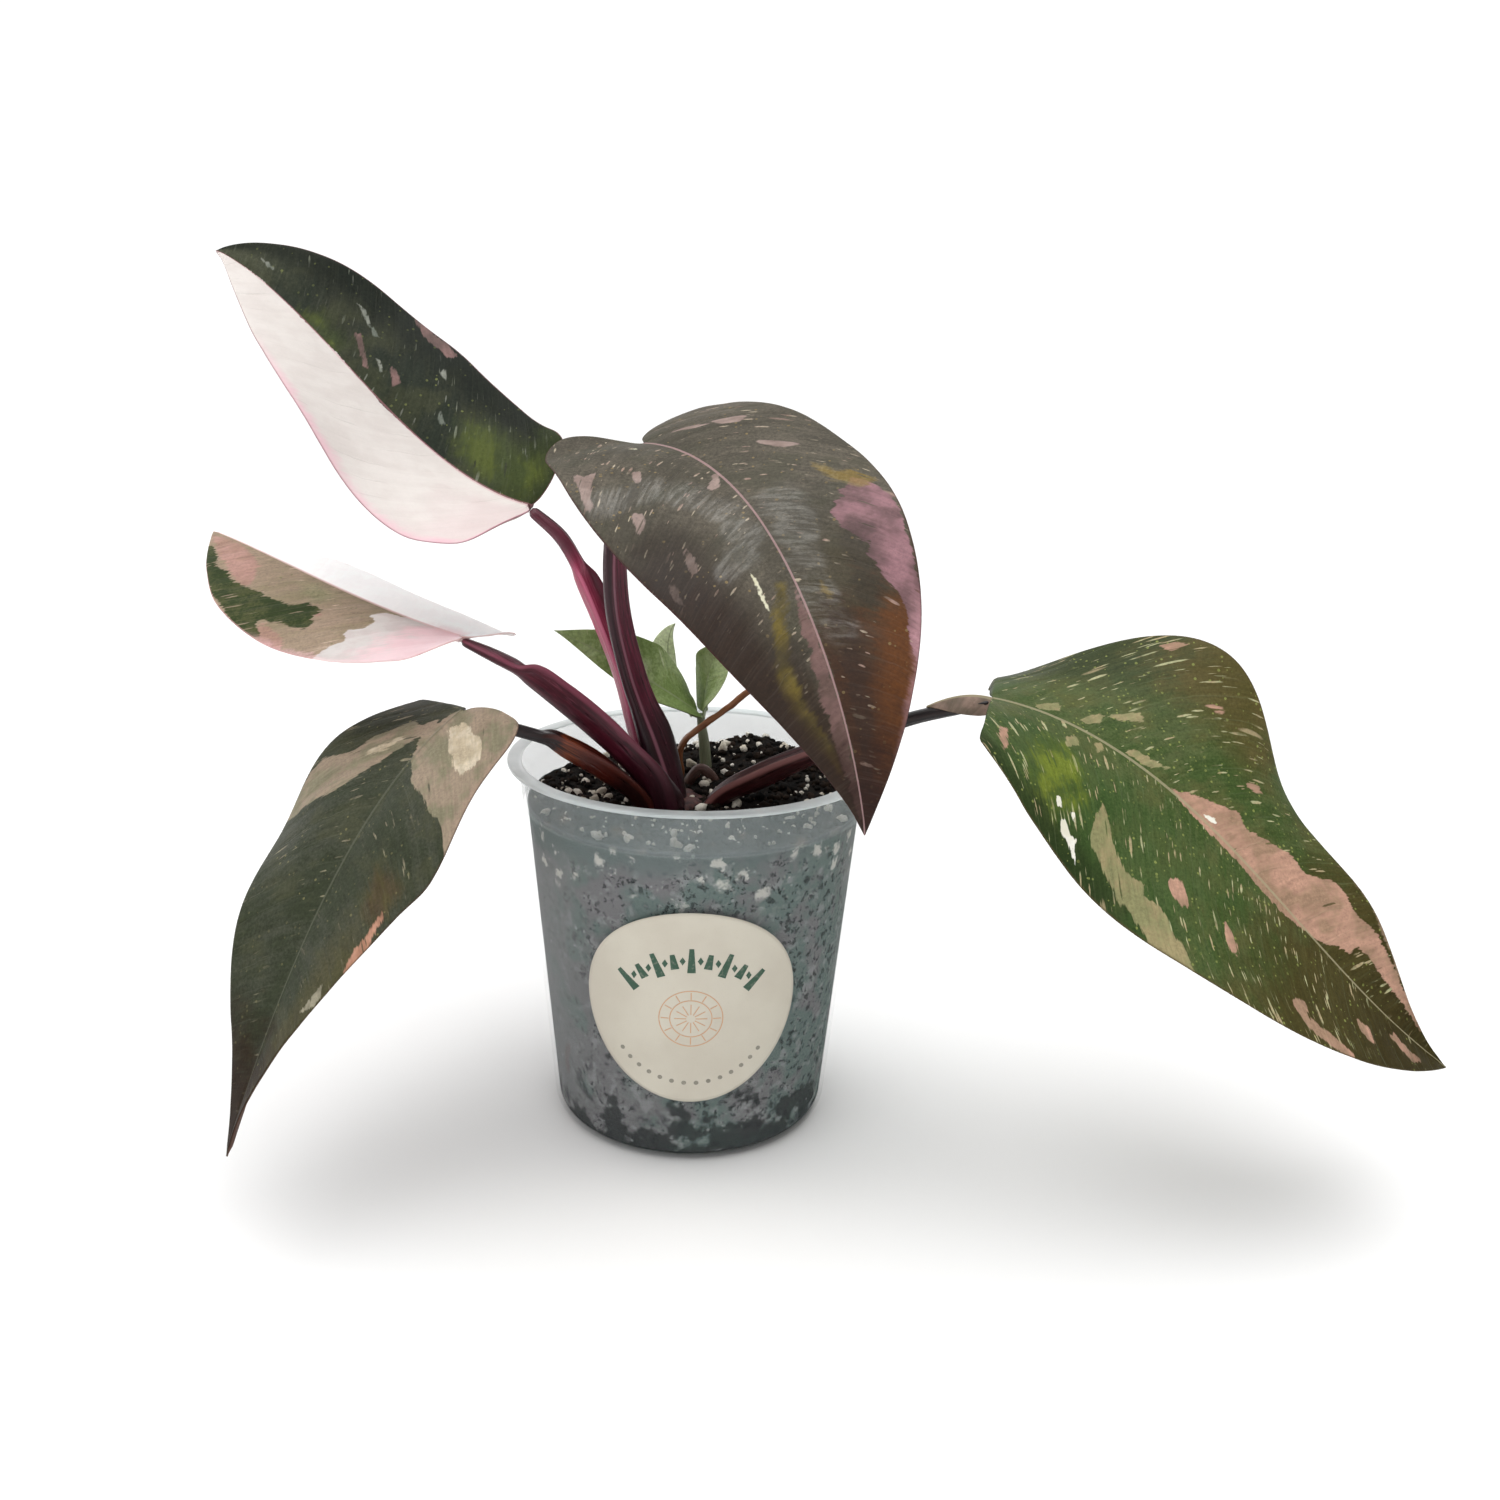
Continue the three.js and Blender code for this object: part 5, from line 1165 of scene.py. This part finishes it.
def perlite_piece(rng):
    count = MIX["perlite"]
    shapes, ball = lumps(10, fineness=2, rough=0.42, seed=200)
    places = random_places(count, rng, inner_radius(MIX["level"]) - 2, 0.4)
    sizes = rng.uniform(0.35, 0.8, count)
    sizes = sizes + (rng.uniform(0, 1, count) < 0.22) * rng.uniform(0.6, 1.5, count)
    points, faces = scattered(shapes, ball, places, sizes, 0.25, rng)
    s = Shade("perlite", 0.3)
    colour = s.clouds((222, 218, 208), (196, 188, 172), 0.35, 0.65, 9, 2)
    colour = s.clouds(colour, (128, 114, 96), 0.58, 0.72, 0.8)
    s.bump(s.noise(s.place(), 0.6, 4, 0.7), 0.35)
    make_piece("perlite", points, faces, [s.paint(colour, 0.8)], None, "potting_mix")


# Pot


def pot_materials():
    """The clear wall, the stronger haze of its upper band, and the milky rim."""
    s = Shade("pot_plastic", 0.4, 0.045)
    cloud = s.noise(s.place(), 30)
    colour = s.mix(s.step(cloud, 0.35, 0.65), (150, 162, 162), (168, 178, 178))
    s.bump(s.noise(s.place(), 1.6), 0.05)
    body = s.paint(colour, 0.34 + cloud * 0.16)

    s = Shade("pot_band", 0.4, 0.27)
    place = s.place()
    colour = s.clouds((164, 175, 175), (175, 185, 185), 0.35, 0.65, 16)
    colour = s.mix(s.blobs(place) * s.step(s.parts(place)[2], 119, 112), colour, (204, 202, 194))
    s.bump(s.noise(place, 1.6), 0.05)
    band = s.paint(colour, 0.4)

    s = Shade("pot_rim", 0.4, 0.72)
    colour = s.clouds((208, 216, 216), (222, 228, 228), 0.35, 0.65, 16)
    s.bump(s.noise(s.place(), 2.5, 2), 0.05)
    return [body, s.paint(colour, 0.32), band]


def cut_drain_holes(pot):
    cutter = bmesh.new()
    ring, hole = DRAIN_HOLES["ring"] * MM, DRAIN_HOLES["radius"] * MM
    for k in range(DRAIN_HOLES["count"]):
        turn = (k + 0.5) * 2 * math.pi / DRAIN_HOLES["count"]
        place = Matrix.Translation((ring * math.cos(turn), ring * math.sin(turn), 0))
        bmesh.ops.create_cone(
            cutter, cap_ends=True, segments=32, radius1=hole, radius2=hole, depth=5 * MM, matrix=place
        )
    mesh = bpy.data.meshes.new("holes")
    cutter.to_mesh(mesh)
    cutter.free()
    holes = add_object("holes", mesh)
    cut = pot.modifiers.new("holes", "BOOLEAN")
    cut.object, cut.operation, cut.solver = holes, "DIFFERENCE", "EXACT"
    bpy.context.view_layer.update()
    done = bpy.data.meshes.new_from_object(pot.evaluated_get(bpy.context.evaluated_depsgraph_get()))
    pot.modifiers.clear()
    pot.data = done
    bpy.data.objects.remove(holes)


def pot_piece():
    height, radius = POT["height"], POT["rim_radius"]
    under = height - POT["rim_thickness"]
    outer = pot_outline(0, under)
    inner = pot_outline(POT["wall"], height - 0.4)[::-1]
    lip = [
        (radius - 0.5, under), (radius - 0.15, under + 0.15), (radius, under + 0.5), (radius, height - 0.4),
        (radius - 0.12, height - 0.12), (radius - 0.4, height), (inner[0][0] + 0.4, height),
    ]
    points, faces = lathe(outer + lip + inner, 160)
    heights = np.array([points[list(face), 2].min() for face in faces])
    widths = np.array([np.hypot(*points[list(face), :2].T).max() for face in faces])
    in_band = np.where(heights > POT["band_start"], 2, 0)
    slots = np.where((heights > under - 0.01) & (widths > 50), 1, in_band)
    cut_drain_holes(make_piece("fine_pot", points, faces, pot_materials(), "pot", "pot_plastic", slots=slots))


# Sticker


def on_pot(across, z, lift):
    """The point above the pot's wall at a height and a way across the front."""
    radius, around = wall_radius(z) + lift, across / wall_radius(z)
    return np.stack([radius * np.sin(around), -radius * np.cos(around), z + 0 * around], -1)


def egg(share, turn):
    """The place across and up of a point of the sticker's outline, shrunk to the share."""
    z = STICKER["centre"] + share * STICKER["height"] * np.sin(turn) / 2
    return share * STICKER["width"] * np.cos(turn) * (1 + STICKER["top_heavy"] * np.sin(turn)) / 2, z


def sticker_piece():
    segments, rings = 120, 30
    low, high = STICKER["lift"], STICKER["lift"] + STICKER["thickness"]
    shares = np.concatenate([np.linspace(0, 1, rings), np.linspace(1, 0, rings)])
    shares[[0, -1]] = 0.002
    lifts = [high] * (rings - 1) + [high - 0.1, low + 0.1] + [low] * (rings - 1)
    turn = full_turn(segments)
    points = np.concatenate([on_pot(*egg(share, turn), lift) for share, lift in zip(shares, lifts)])
    s = Shade("sticker_paper", 0.4)
    place = s.place()
    colour = s.clouds((209, 203, 188), (202, 195, 180), 0.35, 0.65, 24)
    colour = s.mix(s.step(s.noise(place, 0.5), 0.55, 0.75) * 0.15, colour, (180, 170, 150))
    s.bump(s.noise(place, 0.45), 0.02)
    faces = loop_faces(len(shares), segments)
    make_piece("fine_sticker", points, faces, [s.paint(colour, 0.5)], "sticker", "sticker_paper")


def printed(outlines, name, colour):
    """Thin printed shapes on the sticker, from convex outlines across and up in millimetres."""
    low = STICKER["lift"] + STICKER["thickness"] - 0.05
    points, faces = [], []
    for outline in outlines:
        first, count = len(points), len(outline)
        for lift in (low, low + 0.1):
            points += [*on_pot(*np.array(outline, float).T, lift)]
        faces += [tuple(first + k for k in face) for face in loop_faces(2, count)]
    s = Shade(name, 0.4)
    worn = s.mix(0.25, colour, (214, 206, 190))
    material = s.paint(s.clouds(colour, worn, 0.5, 0.8, 1.2), 0.5)
    make_piece(name, np.array(points), faces, [material], None, "sticker_paper", smooth=False)


def round_place(centre_z, radius, angle):
    """The place at a clockwise angle from straight above a centre on the sticker's middle line."""
    return radius * math.sin(math.radians(angle)), centre_z + radius * math.cos(math.radians(angle))


def bar(centre, angle, length, width, taper=1.0):
    """A short bar or wedge that points along the angle, clockwise from up."""
    a = math.radians(angle)
    up, side = np.array([math.sin(a), math.cos(a)]), np.array([math.cos(a), -math.sin(a)])
    pieces = []
    steps = np.linspace(-1, 1, max(2, round(length / 1.2)))
    for low, high in zip(steps[:-1], steps[1:]):
        thin, thick = (1 + (taper - 1) * (t + 1) / 2 for t in (low, high))
        corners = [(high, -thick), (high, thick), (low, thin), (low, -thin)]
        pieces.append([np.array(centre) + up * length / 2 * i + side * width / 2 * j for i, j in corners])
    return pieces


def sticker_print():
    """An arc of green bars and diamonds, a thin gold rosette and a row of grey dots."""
    greens = []
    for k, angle in enumerate(range(-44, 45, 11)):
        greens += bar(round_place(*PRINT["arc"], angle), angle, 5.0 if k % 2 else 8.2, 2.6, 0.55)
        if k < 8:
            x, z = round_place(*PRINT["arc"], angle + 5.5)
            greens.append([(x, z - 1.4), (x + 0.9, z), (x, z + 1.4), (x - 0.9, z)])
    printed(greens, "print_green", (52, 84, 66))

    golds = []
    middle, thick = PRINT["rosette"], PRINT["ring_width"]
    for radius, count in ((9.5, 64), (6.2, 48)):
        for k in range(count):
            a, b = (2 * math.pi * j / count for j in (k, k + 1))
            corners = [(radius, a), (radius, b), (radius + thick, b), (radius + thick, a)]
            golds.append([(r * math.cos(t), middle + r * math.sin(t)) for r, t in corners])
    for angle in range(0, 360, 30):
        for radius, length, width in ((7.9, 2.4, 0.34), (3.2, 3.6, 0.3)):
            golds += bar(round_place(middle, radius, angle), angle, length, width)
    printed(golds, "print_gold", (206, 164, 128))

    dots = []
    for angle in range(128, 233, 8):
        x, z = round_place(*PRINT["row"], angle)
        dots.append([(x + 0.75 * math.cos(t), z + 0.75 * math.sin(t)) for t in full_turn(12)])
    printed(dots, "print_grey", (140, 136, 124))


# Camera, floor and light


def put_object(name, data, place, right, up, back):
    """An object at a place in metres, with its own x, y and z turned right, up and back."""
    item = add_object(name, data)
    turned = np.eye(4)
    turned[:3] = np.stack([right, up, back, place], -1)
    item.matrix_world = Matrix(turned.tolist())
    return item


def camera_view():
    yaw, pitch, roll = (math.radians(CAMERA[key]) for key in ("yaw", "pitch", "roll"))
    ahead = np.array([math.sin(yaw) * math.cos(pitch), math.cos(yaw) * math.cos(pitch), -math.sin(pitch)])
    level = unit(np.cross(ahead, [0, 0, 1]))
    above = np.cross(level, ahead)
    right = math.cos(roll) * level + math.sin(roll) * above
    up = math.cos(roll) * above - math.sin(roll) * level
    camera = put_object("camera", bpy.data.cameras.new("camera"), CAMERA["place"], right, up, -ahead)
    camera.data.sensor_width = 36
    camera.data.lens = camera.data.sensor_width * CAMERA["focus"] / CAMERA["frame"]
    camera.data.clip_start = 0.01
    bpy.context.scene.camera = camera


def floor_disc():
    reach, sides = 8, 128
    rim = [(reach * math.cos(turn), reach * math.sin(turn), 0) for turn in full_turn(sides)]
    mesh = bpy.data.meshes.new("floor")
    mesh.from_pydata(rim, [], [tuple(range(sides))])
    s = Shade("floor", 0.1)
    mesh.materials.append(s.paint(s.mix(s.noise(s.place(), 400, 2), (240, 240, 240), (243, 243, 242)), 0.9))
    floor = add_object("floor", mesh)


def room_light():
    """A pale room with bright light overhead and behind the plant."""
    world = bpy.data.worlds.new("world")
    world.use_nodes = True
    s = Nodes(world.node_tree)
    _, y, z = s.parts(s.node("ShaderNodeTexCoord", output="Generated"))
    overhead = s.step(z, 0.8, 0.92) * 3.3
    behind = s.step(y - z * 0.6, 0.5, 0.72) * 0.95
    background = world.node_tree.nodes["Background"].inputs
    s.feed(background["Strength"], 0.14 + s.step(z, 0.1, 0.6) * 0.22 + (overhead + behind))
    background["Color"].default_value = (1, 1, 1, 1)
    bpy.context.scene.world = world


def lamps():
    for name, (place, target, power) in LAMPS.items():
        light = bpy.data.lights.new(name, "AREA")
        light.size, light.energy = 1.3, power
        back = unit(np.array(place) - np.array(target))
        side = unit(np.cross([0, 0, 1], back))
        put_object(name, light, place, side, np.cross(back, side), back)


leaf_pieces()
shoot_leaf_pieces()
stalk_pieces()
thin_stem_pieces()
crown_piece()
mix_piece()
mix_rng = np.random.default_rng(11)
crumbs_piece(mix_rng)
perlite_piece(mix_rng)
pot_piece()
sticker_piece()
sticker_print()
camera_view()
floor_disc()
room_light()
lamps()
bpy.context.scene.view_settings.view_transform = "Standard"
